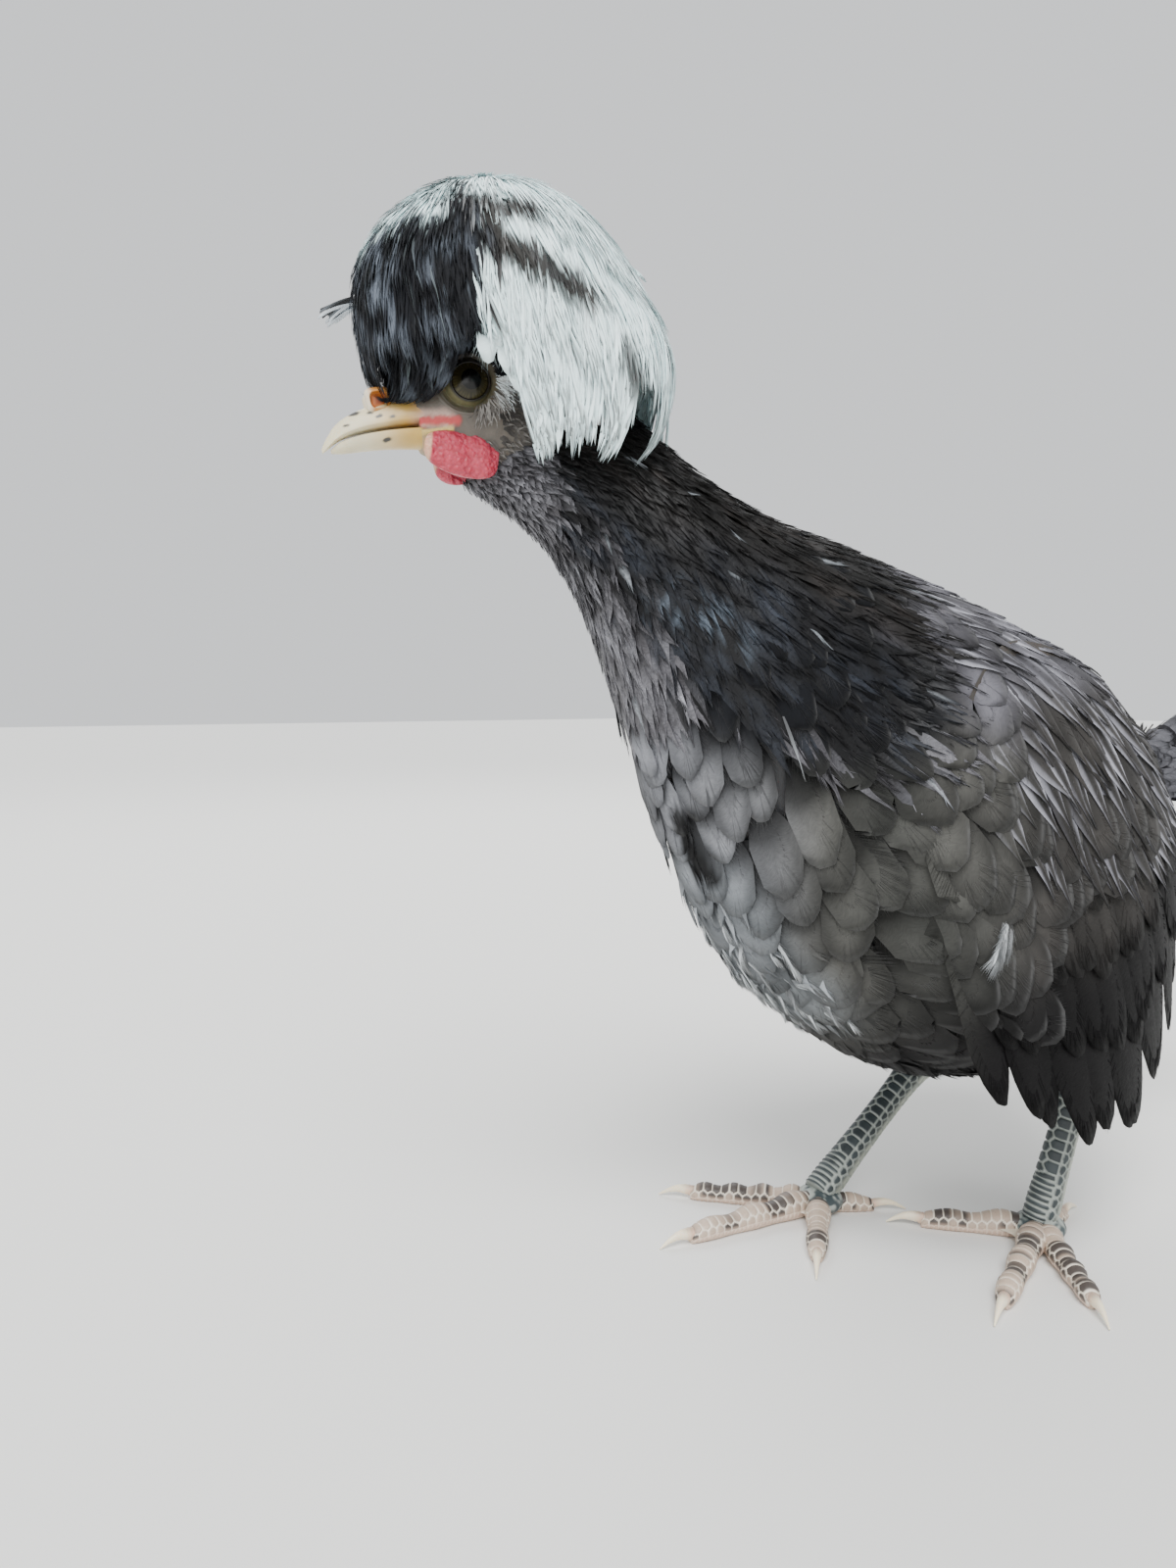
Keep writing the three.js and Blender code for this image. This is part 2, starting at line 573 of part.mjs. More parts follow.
// One crest feather: it leaves the middle near the top, bends over and falls to its tip
function crestFeather(turn, fall, wide, lift) {
  const top = fall < CREST_TOP.below;
  const start = top ? -CREST_TOP.behind : Math.max(fall - CREST_LONG, fall * CREST_ROOT);
  const core = Math.min(...CREST_CORE) * CREST_SUNK;
  const front = turn > 180 ? 1 : -1;
  const round = radians(turn);
  const rise = CREST_TILT * Math.min(1, Math.abs(Math.sin(round)) * CREST_LEVEL);
  const frontward = inHead(-Math.sin(round) * front, Math.cos(round) * front, 0).sub(vec(...HEAD_AT));
  return plume(
    CREST_VANE.shares.map((share, i) => {
      const way = crestWay(turn, lerp(start, fall, share));
      const out = lerp(core, crestReach(way) - lift, share ** (top ? CREST_TOP.rise : CREST_RISE));
      const outward = inHead(...way).sub(vec(...HEAD_AT));
      const at = inHead(CREST_AT[0], 0, CREST_AT[1]).addScaledVector(outward, out);
      const across = frontward.clone().addScaledVector(outward, rise);
      across.multiplyScalar(wide * CREST_VANE.widths[i]);
      return { at, across };
    }),
    CREST_THICK,
  );
}

// Crest: a solid middle and tiers of feathers round it
function crestForm() {
  const middle = inHead(CREST_AT[0], 0, CREST_AT[1]);
  const pieces = [ball(middle, HEAD_AXES, CREST_CORE, 8, 12)];
  CREST_TIERS.forEach(({ share, count, wide }, tier) => {
    for (let k = 0; k < count; k++) {
      const turn = (360 * (k + 0.5 * (tier % 2)) + CREST_VARY.turn * random()) / count;
      const round = Math.abs(((turn + 540) % 360) - 180);
      const fall = through(CREST_FALL, round / 180) * share + CREST_VARY.fall * random();
      const across = wide * (1 + CREST_VARY.wide * random());
      pieces.push(crestFeather(turn, fall, across, CREST_VARY.sink + CREST_VARY.lift * random()));
    }
  });
  return join(...pieces);
}

// Half width of the torso at a place in the middle plane, and 0 outside it
function torsoOut(x, z) {
  const value = (t, pick) => through(TRUNK.map(pick), t);
  const line = (t) => [
    value(t, (s) => s.under[0]),
    value(t, (s) => s.under[1]),
    value(t, (s) => s.back[0]),
    value(t, (s) => s.back[1]),
  ];
  let [low, high] = [0, NECK_FROM];
  for (let i = 0; i < 20; i++) {
    const t = (low + high) / 2;
    const [ux, uz, bx, bz] = line(t);
    if ((bx - ux) * (z - uz) - (bz - uz) * (x - ux) > 0) low = t;
    else high = t;
  }
  const [ux, uz, bx, bz] = line(low);
  const share = ((x - ux) * (bx - ux) + (z - uz) * (bz - uz)) / ((bx - ux) ** 2 + (bz - uz) ** 2);
  const off = Math.min(1, Math.abs(2 * share - 1)) ** TRUNK_POWER;
  return value(low, (s) => s.half) * (1 - off) ** (1 / TRUNK_POWER);
}

// Flank sheet: distance of the wing from the middle plane
function flankOut(x, z) {
  const dx = x - FLANK.x;
  const along = dx > 0 ? FLANK.rear : FLANK.front;
  const turned = FLANK_REST.turn * Math.max(0, dx) * Math.max(0, z - FLANK.z - FLANK_REST.from);
  const up = z > FLANK.z ? FLANK.above : FLANK.below;
  const sheet = FLANK.out - along * dx * dx - up * (z - FLANK.z) ** 2 - turned;
  const body = torsoOut(x, z) + FLANK_REST.off;
  return (sheet + body + Math.hypot(sheet - body, 3)) / 2;
}

// Place on the wing: along from front to rear, down from the shoulder line to the tips
function wingAt(side, along, down, lift) {
  const line = (points, k) => through(points.map((p) => p[k]), along);
  const [x, z] = [0, 1].map((k) => lerp(line(WING_TOP, k), line(WING_TIPS, k), down));
  return vec(x, side * (flankOut(x, z) + lift), z);
}

// Share of its full width that a vane has at a share of its length
function vaneWidth(share) {
  const { root, full, shoulder, blunt, point } = VANE_SHAPE;
  if (share < shoulder) return lerp(root, 1, Math.min(1, share / full) ** 0.8);
  return share < 1 ? blunt : point;
}

// Wing: a flat middle under the shoulder, and tiers of vanes that overlap from the rear forward
function wing(side) {
  const { rows, columns } = WING_CORE_MESH;
  const { start, end, high, low, edge, rim } = WING_CORE;
  const { drop, thin } = WING_CORE_EDGE;
  const [outer, inner] = [[], []];
  for (let i = 0; i < rows; i++) {
    const down = lerp(start, end, i / (rows - 1));
    outer.push([]);
    inner.push([]);
    for (let j = 0; j < columns; j++) {
      const along = j / (columns - 1);
      const share = j === 0 || j === columns - 1 ? rim : 1;
      const rise = lerp(high, edge, i / (rows - 1)) * share - (i === 0 ? drop : 0);
      outer[i].push(wingAt(side, along, down, rise));
      inner[i].push(wingAt(side, along, down, i === rows - 1 ? -thin : -low));
    }
  }
  const pieces = [slab(outer, inner)];
  for (const { from, to, wide, lift, shares } of WING_TIERS) {
    for (let k = 0; k < WING_COUNT; k++) {
      const along = (k + 0.5) / WING_COUNT;
      const tip = to - WING_VARY * (1 + random());
      const stations = shares.map((share) => {
        const down = lerp(from, tip, share);
        const at = wingAt(side, along, down, lift);
        const reach = Math.min(0.02, along / 2, (1 - along) / 2);
        const rear = wingAt(side, along + reach, down, lift).sub(wingAt(side, along - reach, down, lift));
        const across = rear.normalize().add(vec(0, -side * VANE_TILT, 0));
        return { at, across: across.multiplyScalar(wide * vaneWidth(share)) };
      });
      pieces.push(plume(stations, VANE_THICK));
    }
  }
  return join(...pieces);
}

// Tail: a short solid root, and rows of vanes that slope down on both sides like a roof
function tail() {
  const ahead = vec(Math.cos(radians(TAIL.rise)), 0, Math.sin(radians(TAIL.rise)));
  const above = vec(-Math.sin(radians(TAIL.rise)), 0, Math.cos(radians(TAIL.rise)));
  const from = vec(TAIL.x, 0, TAIL.z);
  const root = TAIL_ROOT.map(({ along, wide, high, down }) => ({
    at: from.clone().addScaledVector(ahead, along).addScaledVector(above, down),
    wide,
    high,
  }));
  const pieces = [tube(root, vec(0, 1, 0), 14)];
  const [cos, sin] = [Math.cos(radians(TAIL.slope)), Math.sin(radians(TAIL.slope))];
  for (const side of [LEFT, RIGHT]) {
    const down = vec(0, side * cos, 0).addScaledVector(above, -sin);
    const outward = vec(0, side * sin, 0).addScaledVector(above, cos);
    const across = down.clone().addScaledVector(outward, TAIL.tilt);
    for (const { count, start, long, wide, lift } of TAIL_ROWS) {
      for (let k = 0; k < count; k++) {
        const length = long - TAIL_VANE.step * k + TAIL_VANE.vary * random();
        const stations = TAIL_VANE.shares.map((share, i) => {
          const along = start + length * share;
          const spacing = lerp(TAIL.root, TAIL.tip, Math.max(along, 0) / TAIL.long);
          const spread = spacing * (k + TAIL_FIRST);
          const at = from
            .clone()
            .addScaledVector(ahead, along)
            .addScaledVector(down, spread)
            .addScaledVector(outward, lift);
          return { at, across: across.clone().multiplyScalar(wide * TAIL_VANE.widths[i]) };
        });
        pieces.push(plume(stations, VANE_THICK));
      }
    }
  }
  return join(...pieces);
}

// Thigh and shank
function thigh(side, grow = 0) {
  const { knee, hock } = LEG[side];
  const [from, to] = [vec(...knee), vec(...hock)];
  const stations = THIGH.widths.map((wide, i) => ({
    at: from.clone().lerp(to, (i / (THIGH.widths.length - 1)) * THIGH.long - THIGH.above),
    wide: wide + grow,
    high: wide * LEG_DEEP + grow,
  }));
  return tube(stations, vec(0, 1, 0), THIGH.sides);
}

// Height, 0 to 1, of a row of plates at a place counted in plates: each rises to its lower edge
function plateRise(place) {
  const phase = place - Math.floor(place);
  return phase < SCUTE.edge ? 1 - phase / SCUTE.edge : (phase - SCUTE.edge) / (1 - SCUTE.edge);
}

function shank(side, grow = 0) {
  const { hock, pad } = LEG[side];
  const from = vec(...hock);
  const to = vec(pad[0], pad[1], PAD.high * SHANK.end);
  const line = to.clone().sub(from).normalize();
  from.addScaledVector(line, -SHANK.above);
  const shares = [0, SCUTE.first / 2];
  for (let plate = 0; plate < SCUTE.count; plate++) {
    for (const phase of [0, SCUTE.edge, 0.5, 0.5 + SCUTE.edge]) {
      shares.push(lerp(SCUTE.first, 1, (plate + phase) / SCUTE.count));
    }
  }
  shares.push(1);
  const stations = shares.map((share) => ({
    at: from.clone().lerp(to, share),
    wide: through(SHANK_WIDTHS, share) + grow,
    high: through(SHANK_WIDTHS, share) * LEG_DEEP + grow,
  }));
  const relief = (i, angle) => {
    const place = ((shares[i] - SCUTE.first) / (1 - SCUTE.first)) * SCUTE.count;
    if (place < 0 || angle < SCUTE_SIDES.from || angle > SCUTE_SIDES.to) return 0;
    const merged = THREE.MathUtils.smoothstep(shares[i], ...SCUTE.merge);
    const middle = Math.abs(angle - 270) < 5;
    if (middle) return SCUTE.high * lerp(-SCUTE.groove, plateRise(place), merged);
    const shift = angle > 270 ? 0.5 * (1 - merged) : 0;
    const strength = Math.abs(angle - 270) < SCUTE_SIDES.near ? 1 : SCUTE_SIDES.rim;
    return SCUTE.high * strength * plateRise(place + shift);
  };
  const foot = ball(
    vec(pad[0], pad[1], PAD.high * PAD.middle),
    [vec(0, 0, 1), vec(1, 0, 0), vec(0, 1, 0)],
    [PAD.high * PAD.half + grow, PAD.radius + grow, PAD.radius + grow],
    5,
    10,
  );
  return join(tube(stations, vec(0, 1, 0), SHANK.sides, relief), foot);
}

const heading = (side, turn) =>
  vec(-Math.cos(radians(turn)), side * Math.sin(radians(turn)), 0);

// Toe: plates on top, and pads that rest on the floor
function toe(side, { turn, long, thick, joints }, grow = 0) {
  const ahead = heading(side, turn);
  const [x, y] = LEG[side].pad;
  const count = Math.max(2, Math.round(long / TOE_PLATE.pitch));
  const shares = [];
  for (let plate = 0; plate < count; plate++) {
    shares.push(plate / count, (plate + TOE_PLATE.edge) / count);
  }
  shares.push(1);
  const stations = shares.map((share) => {
    const end = share === 1;
    const knuckle = 1 - TOE_PLATE.knuckle * Math.cos(2 * Math.PI * joints * share);
    const radius = lerp(thick, thick * TOE.taper, share) * (end ? TOE.end : knuckle);
    const along = PAD.radius * TOE.root + share * long + (end ? grow : 0);
    return {
      at: vec(x, y, radius * TOE.rest).addScaledVector(ahead, along),
      wide: radius + grow,
      high: radius + grow,
    };
  });
  const relief = (i, angle) => {
    if (angle < TOE_PLATE.from || i === shares.length - 1) return 0;
    const strength = Math.abs(angle - 270) < TOE_PLATE.near ? 1 : TOE_PLATE.rim;
    return TOE_PLATE.high * strength * (1 - (i % 2));
  };
  return tube(stations, ahead.clone().cross(vec(0, 0, 1)), TOE.sides, relief);
}

function claw(side, { turn, long, thick }) {
  const ahead = heading(side, turn);
  const [x, y] = LEG[side].pad;
  const root = PAD.radius * TOE.root + long + 2 * GAP;
  const size = CLAW.thick * (thick / CLAW.toe);
  const stations = [];
  for (let i = 0; i <= CLAW_MESH.steps; i++) {
    const t = i / CLAW_MESH.steps;
    const radius = lerp(size, CLAW.point, t ** 1.1);
    const height = lerp(thick * TOE.taper, CLAW.low, t) + CLAW.arch * Math.sin(Math.PI * t);
    stations.push({
      at: vec(x, y, height).addScaledVector(ahead, root + t * CLAW.long),
      wide: radius * CLAW.flat,
      high: radius,
    });
  }
  return tube(stations, ahead.clone().cross(vec(0, 0, 1)), CLAW_MESH.sides);
}

// What is left above the floor
function aboveFloor(made) {
  const size = 400;
  const box = new THREE.BoxGeometry(size, size, size);
  return cut(made, solidOf(box, (x, y, z) => vec(x, y, z - size / 2)));
}

// The nodes
const nodes = [];
const add = (name, made, colour) => nodes.push({ name, made, colour });

const headForm = (grow) =>
  profile(HEAD_PROFILE, HEAD_MESH.rings, HEAD_MESH.sides, { power: HEAD_MESH.power, grow });
const headRoom = headForm(GAP);
const { upper, lower } = bills();
const billRoom = [
  billHalf(BILL_UPPER, BILL_MESH.upper, 1, GAP),
  billHalf(BILL_LOWER, BILL_MESH.lower, -1, GAP),
  knob(LEFT, GAP),
  knob(RIGHT, GAP),
];
const mouthLine = headPrism(
  [
    MOUTH.corner,
    [MOUTH.front[0], MOUTH.front[1] - MOUTH.height / 2],
    [MOUTH.front[0], MOUTH.front[1] + MOUTH.height / 2],
  ],
  -ACROSS_HEAD,
  ACROSS_HEAD,
);
const head = cut(
  join(headForm(0), lids(LEFT), lids(RIGHT)),
  neckRoom,
  eyeBall(LEFT, GAP),
  eyeBall(RIGHT, GAP),
  ...billRoom,
  mouthLine,
);

const thighs = { [LEFT]: thigh(LEFT), [RIGHT]: thigh(RIGHT) };
const legRoom = [LEFT, RIGHT].flatMap((side) => [thigh(side, GAP), shank(side, GAP)]);
add("torso", cut(torsoBody, ...legRoom), "plumage");
add("neck", neckBody, "dark");
add("head", head, "face");
add("bill_upper", upper, "horn");
add("bill_lower", lower, "horn");

const bareFace = headPrism(FACE, -ACROSS_HEAD, ACROSS_HEAD);
add("crest", cut(crestForm(), headRoom, neckRoom, ...billRoom, bareFace), "white");

for (const side of [LEFT, RIGHT]) {
  const { name } = LEG[side];
  add(`eye_${name}`, eyeBall(side), "eye");
  add(`wattle_${name}`, cut(wattle(side), headRoom, neckRoom), "flesh");
  const wingSolid = cut(wing(side), torsoRoom, neckRoom, thigh(side, GAP), shank(side, GAP));
  add(`wing_${name}`, wingSolid, "plumage");
  add(`thigh_${name}`, cut(thighs[side], shank(side, GAP)), "plumage");
  const shankSolid = aboveFloor(shank(side));
  add(`shank_${name}`, shankSolid, "scale");
  const taken = [shank(side, GAP)];
  for (const digit of TOES[side]) {
    add(`toe_${name}_${digit.digit}`, aboveFloor(cut(toe(side, digit), ...taken)), "scale");
    add(`claw_${name}_${digit.digit}`, aboveFloor(claw(side, digit)), "claw");
    taken.push(toe(side, digit, GAP));
  }
}
add("tail", cut(tail(), torsoRoom), "dark");

// The group, set so that its box stands centred on the origin
const bird = new THREE.Group();
for (const { name, made, colour } of nodes) {
  const { vertProperties, triVerts } = made.getMesh();
  const geometry = new THREE.BufferGeometry();
  geometry.setAttribute("position", new THREE.BufferAttribute(new Float32Array(vertProperties), 3));
  geometry.setIndex(new THREE.BufferAttribute(new Uint32Array(triVerts), 1));
  const [tint, roughness] = COLOURS[colour];
  const material = new THREE.MeshStandardMaterial({ color: tint, roughness, metalness: 0 });
  const mesh = new THREE.Mesh(geometry, material);
  mesh.name = name;
  bird.add(mesh);
}
const reach = new THREE.Box3().setFromObject(bird);
bird.position.set(
  -(reach.min.x + reach.max.x) / 2,
  -(reach.min.y + reach.max.y) / 2,
  -reach.min.z,
);

export default bird;
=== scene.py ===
import math

import bpy
import numpy as np
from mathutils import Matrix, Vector


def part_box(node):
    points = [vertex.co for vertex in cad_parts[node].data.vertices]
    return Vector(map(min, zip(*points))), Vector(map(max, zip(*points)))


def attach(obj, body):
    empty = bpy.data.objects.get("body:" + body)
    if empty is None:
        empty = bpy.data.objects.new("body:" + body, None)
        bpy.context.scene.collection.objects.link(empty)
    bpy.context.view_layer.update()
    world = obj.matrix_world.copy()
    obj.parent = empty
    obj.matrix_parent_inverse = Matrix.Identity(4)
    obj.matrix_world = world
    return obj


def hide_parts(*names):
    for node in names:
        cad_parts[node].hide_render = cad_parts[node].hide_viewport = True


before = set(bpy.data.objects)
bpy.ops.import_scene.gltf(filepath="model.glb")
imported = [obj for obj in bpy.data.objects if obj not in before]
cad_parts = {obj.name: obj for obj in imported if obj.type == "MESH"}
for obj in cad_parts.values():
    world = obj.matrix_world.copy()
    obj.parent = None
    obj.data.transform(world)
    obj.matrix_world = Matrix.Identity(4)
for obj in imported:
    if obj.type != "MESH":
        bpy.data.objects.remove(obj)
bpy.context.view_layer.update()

FULL = 2 * math.pi
BACK, BELLY = math.radians(90), math.radians(270)  # turns round the trunk
UP = np.array([0, 0, 1.0])
SMALL = 1e-3  # step for slopes
LEFT = -1
RIGHT = 1
SIDE_NAMES = {LEFT: "left", RIGHT: "right"}

# Driving dimensions, the same as those of the solids
# Trunk sections from the rump to the head: back x and z, underline x and z, half width, y
TRUNK = np.array([
    [101, 164, 104, 150, 7, 0],
    [94, 171, 97, 122, 17, 0],
    [80, 178, 82, 90, 28, 0],
    [62, 186, 54, 64, 38, 0],
    [40, 194, 20, 54, 45, 0],
    [16, 204, -16, 58, 49, 0],
    [-8, 212.5, -50, 75, 50, 0],
    [-32, 221, -79, 99, 47, 0],
    [-54, 227, -97, 127, 41, 0],
    [-74, 232, -110, 156, 34, 1],
    [-89, 238, -120, 183, 28, 3],
    [-101, 245, -130, 206, 23.5, 5],
    [-110, 253, -141, 222, 20, 8],
    [-121, 262, -154, 231, 16.5, 10],
    [-134, 268, -166, 236.5, 12.5, 11],
], float)
TRUNK_POWER = 2.15
TORSO_END = 9.2 / 14  # share of the trunk where the neck begins

HEAD_AT = np.array([-165.4, 11.9, 261])
HEAD_YAW = math.radians(15)
HEAD_PITCH = math.radians(12)
# Head sections: ahead, top, bottom, half width
HEAD_PROFILE = np.array([
    [-26, 5, -8, 5],
    [-21, 14, -17, 10.5],
    [-13, 18, -22, 13.5],
    [-5, 18.5, -23.5, 14],
    [1, 16.5, -22, 13],
    [6, 11.5, -19.5, 11.4],
    [10, 6, -17, 9.8],
    [14, 3, -14.2, 7.8],
], float)
EYE = {"out": 12.4, "radius": 6.3, "sink": 4.9, "opening": 5.2}
BILL_UPPER = np.array([
    [11, 2, -7.8, 8.2],
    [17, 1, -7, 6.9],
    [23, 0.2, -6.5, 5.5],
    [29, -0.9, -6.5, 4],
    [34, -3, -7.3, 2.7],
    [37.4, -6.2, -8.9, 1.4],
    [39.2, -8.7, -9.9, 0.4],
], float)
BILL_LOWER = np.array([
    [11, -8.2, -13.2, 7.4],
    [17, -7.4, -12.1, 6],
    [23, -6.9, -11.3, 4.6],
    [29, -6.9, -10.9, 3.2],
    [34, -7.7, -10.7, 2],
    [37, -9.3, -10.2, 0.6],
], float)
BILL_FLAT = 0.16
NOSTRIL = {"ahead": 22.8, "out": 3.2, "up": 0.6, "long": 3.2, "wide": 2.3, "high": 3.2}
WATTLE = {
    LEFT: {"ahead": 5.4, "out": 8.8, "up": -16.6, "long": 9.6, "deep": 6, "thick": 3, "tilt": 18},
    RIGHT: {"ahead": 4.8, "out": 8.4, "up": -16.2, "long": 5.6, "deep": 5.8, "thick": 2.7, "tilt": 4},
}

CREST_AT = (-16, 16)
CREST_REACH = [40, 40.5, 37.5, 35, 34.5, 33.5, 37, 46, 50, 43, 37, 40]
CREST_WIDE = 31
CREST_FALL = [112, 104, 112, 146, 152, 148, 142]

FLANK = {"x": 5, "z": 104, "out": 56.5, "front": 0.0011, "rear": 0.0038, "above": 0.0024, "below": 0.0009}
FLANK_REST = {"off": 3.6, "turn": 0.0018, "from": 16, "round": 3}
WING_TOP = np.array([[-57, 160], [-42, 181], [-22, 193], [0, 194], [18, 188]], float)
WING_TIPS = np.array([[-27, 66], [7, 48], [42, 42], [74, 58], [102, 102]], float)

TAIL = {
    "x": 90, "z": 157, "rise": 18, "slope": 52, "long": 108,
    "root": 3.2, "tip": 10.5, "count": 6, "ridge": 3,
}

LEG = {
    LEFT: {"knee": [-8, -30, 104], "hock": [47, -29, 72], "pad": [25.3, -26.2, 0]},
    RIGHT: {"knee": [-12, 29, 92], "hock": [32, 29, 50], "pad": [-25.3, 26.2, 0]},
}
THIGH = [10.45, 19, 18.7, 13.6, 9]
SHANK_WIDTHS = [4.6, 6.6, 5.15, 4.5, 4.35, 4.35, 4.5, 4.75, 5.15, 5.15]
PAD = {"radius": 8.5, "high": 9}
# Toes: digit, degrees outward, length, radius, joints
TOES = {
    LEFT: [(3, 28, 49, 4.4, 3), (2, -42, 34, 4.1, 2), (4, 58, 41, 4, 4), (1, -165, 15, 3.4, 1)],
    RIGHT: [(3, 3, 49, 4.4, 3), (2, -48, 34, 4.1, 2), (4, 42, 41, 4, 4), (1, -150, 15, 3.4, 1)],
}
TOE_TAPER = 0.68
CLAW = {"long": 12.5, "thick": 2.3}

# The solids' own shift in the shared frame, from the torso's rear end and its middle
low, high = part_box("torso")
SHIFT = np.array([high.x * 1000 - TRUNK[0, 2], (low.y + high.y) * 500, 0])


# Numbers
def cubic(before, here, there, after, f):
    """Smooth curve from here to there at f, 0 to 1"""
    bend = 2 * before - 5 * here + 4 * there - after
    twist = 3 * here - before - 3 * there + after
    return here + 0.5 * ((there - before) * f + bend * f**2 + twist * f**3)


def through(values, t):
    """Smooth values at t, 0 to 1, through equally spaced rows, straight on past the ends"""
    values = np.asarray(values, float)
    last = len(values) - 1
    inside = np.clip(t, 0, 1)
    place = inside * last
    i = np.minimum(place.astype(int), last - 1)
    f = place - i
    past = (np.asarray(t) - inside) * last
    if values.ndim > 1:
        f, past = f[..., None], past[..., None]
    here, there = values[i], values[i + 1]
    made = cubic(values[np.maximum(i - 1, 0)], here, there, values[np.minimum(i + 2, last)], f)
    return made + past * (there - here)


def steps(start, end, count):
    """Evenly spaced values, as a column"""
    return np.linspace(start, end, count)[:, None]


def around(count):
    """Angles round a full turn, as a row"""
    return np.linspace(0, FULL, count, endpoint=False)[None, :]


def tube_grid(rows, sides):
    """Share of the length and turn of each point of a tube's grid"""
    return np.meshgrid(steps(0, 1, rows), around(sides), indexing="ij")


def spow(x, power):
    return np.sign(x) * np.abs(x) ** power


def smooth(x, low=0.0, high=1.0):
    """0 below low, 1 above high and a soft step between"""
    t = np.clip((x - low) / (high - low), 0, 1)
    return t * t * (3 - 2 * t)


def mix(a, b, t):
    return a + (b - a) * t


def rgb(text):
    """Linear colour of an sRGB one such as 8a7f70"""
    values = np.array([int(text[i : i + 2], 16) for i in (0, 2, 4)]) / 255
    return np.where(values < 0.04045, values / 12.92, ((values + 0.055) / 1.055) ** 2.4)


def blend(a, b, t):
    """Mix of two colours, given as linear values or as sRGB text"""
    a, b = [rgb(colour) if isinstance(colour, str) else colour for colour in (a, b)]
    return a + (b - a) * np.asarray(t)[..., None]


def hashed(ix, iy, iz):
    """Fixed number from 0 to 1 for whole numbers"""
    n = (ix * 73856093) ^ (iy * 19349663) ^ (iz * 83492791)
    n = (n ^ (n >> 13)) * 1274126177
    return ((n ^ (n >> 16)) & 0xFFFF) / 65535.0


def again(rnd, factor):
    """Further random number from one from 0 to 1"""
    return (rnd * factor) % 1


def noise(p, size):
    """Smooth noise from 0 to 1 at points, with lumps of about this size"""
    q = np.asarray(p, float) / size
    base = np.floor(q).astype(np.int64)
    f = q - base
    f = f * f * (3 - 2 * f)
    total = 0
    for corner in np.ndindex(2, 2, 2):
        near = [f[..., k] if corner[k] else 1 - f[..., k] for k in range(3)]
        total = total + near[0] * near[1] * near[2] * hashed(*[base[..., k] + corner[k] for k in range(3)])
    return total


def segment_distance(x, y, start, end):
    dx, dy = end[0] - start[0], end[1] - start[1]
    share = np.clip(((x - start[0]) * dx + (y - start[1]) * dy) / (dx * dx + dy * dy), 0, 1)
    return np.hypot(x - start[0] - share * dx, y - start[1] - share * dy)


def unit(v):
    return v / np.linalg.norm(v, axis=-1, keepdims=True)


def xyz(x, y, z):
    return np.stack(np.broadcast_arrays(x, y, z), -1)


# Surfaces of the solids, as functions of two parameters and a height over them
def trunk_at(t, turn, h=0.0):
    """Trunk surface: t from the rump to the head, turn round it from the right side over the back"""
    row = through(TRUNK, t)
    back = xyz(row[..., 0], row[..., 5], row[..., 1])
    under = xyz(row[..., 2], row[..., 5], row[..., 3])
    up = (back - under) / 2
    size = np.linalg.norm(up, axis=-1)
    c, s = spow(np.cos(turn), 2 / TRUNK_POWER), spow(np.sin(turn), 2 / TRUNK_POWER)
    at = (back + under) / 2 + up * ((size + h) / size * s)[..., None]
    at[..., 1] += (row[..., 4] + h) * c
    return at


ahead_axis = np.array([
    -math.cos(HEAD_YAW) * math.cos(HEAD_PITCH),
    math.sin(HEAD_YAW) * math.cos(HEAD_PITCH),
    -math.sin(HEAD_PITCH),
])
out_axis = np.array([math.sin(HEAD_YAW), math.cos(HEAD_YAW), 0])
up_axis = np.cross(out_axis, ahead_axis)


def in_head(ahead, out, up):
    ahead, out, up = np.broadcast_arrays(ahead, out, up)
    return HEAD_AT + ahead[..., None] * ahead_axis + out[..., None] * out_axis + up[..., None] * up_axis


def to_head(p):
    """Ahead, out and up in the head's axes of points"""
    d = np.asarray(p) - HEAD_AT
    return d @ ahead_axis, d @ out_axis, d @ up_axis


def head_parts(t, turn, h=0.0):
    """Ahead, out and up of places on the head"""
    row = through(HEAD_PROFILE, t)
    middle = (row[..., 1] + row[..., 2]) / 2
    half_high = (row[..., 1] - row[..., 2]) / 2 + h
    out = (row[..., 3] + h) * spow(np.cos(turn), 2 / TRUNK_POWER)
    return row[..., 0] + 0 * out, out, middle + half_high * spow(np.sin(turn), 2 / TRUNK_POWER)


def head_at(t, turn, h=0.0):
    return in_head(*head_parts(t, turn, h))


def head_half(ahead, up):
    """How far out the head's side is at a place ahead and up"""
    t = np.interp(ahead, HEAD_PROFILE[:, 0], np.linspace(0, 1, len(HEAD_PROFILE)))
    row = through(HEAD_PROFILE, t)
    middle, half_high = (row[..., 1] + row[..., 2]) / 2, (row[..., 1] - row[..., 2]) / 2
    share = np.clip(np.abs(up - middle) / half_high, 0, 0.999)
    return row[..., 3] * (1 - share**TRUNK_POWER) ** (1 / TRUNK_POWER)


def crest_at(fall, turn, h=0.0):
    """Crest surface: fall from straight up, turn from the bill towards the right"""
    way = xyz(np.sin(fall) * np.cos(turn), np.sin(fall) * np.sin(turn), np.cos(fall))
    reaches, count = np.array(CREST_REACH, float), len(CREST_REACH)
    place = (np.arctan2(way[..., 2], way[..., 0]) / FULL) % 1 * count
    i = np.floor(place).astype(int)
    middle = cubic(*[reaches[(i + k) % count] for k in (-1, 0, 1, 2)], place - i)
    power = 2 + 1.2 * np.clip(-way[..., 2], 0, 1)
    flat = np.hypot(way[..., 0], way[..., 2]) / middle
    reach = (flat**power + np.abs(way[..., 1] / CREST_WIDE) ** power) ** (-1 / power) + h
    return in_head(CREST_AT[0] + way[..., 0] * reach, way[..., 1] * reach,
                   CREST_AT[1] + way[..., 2] * reach)


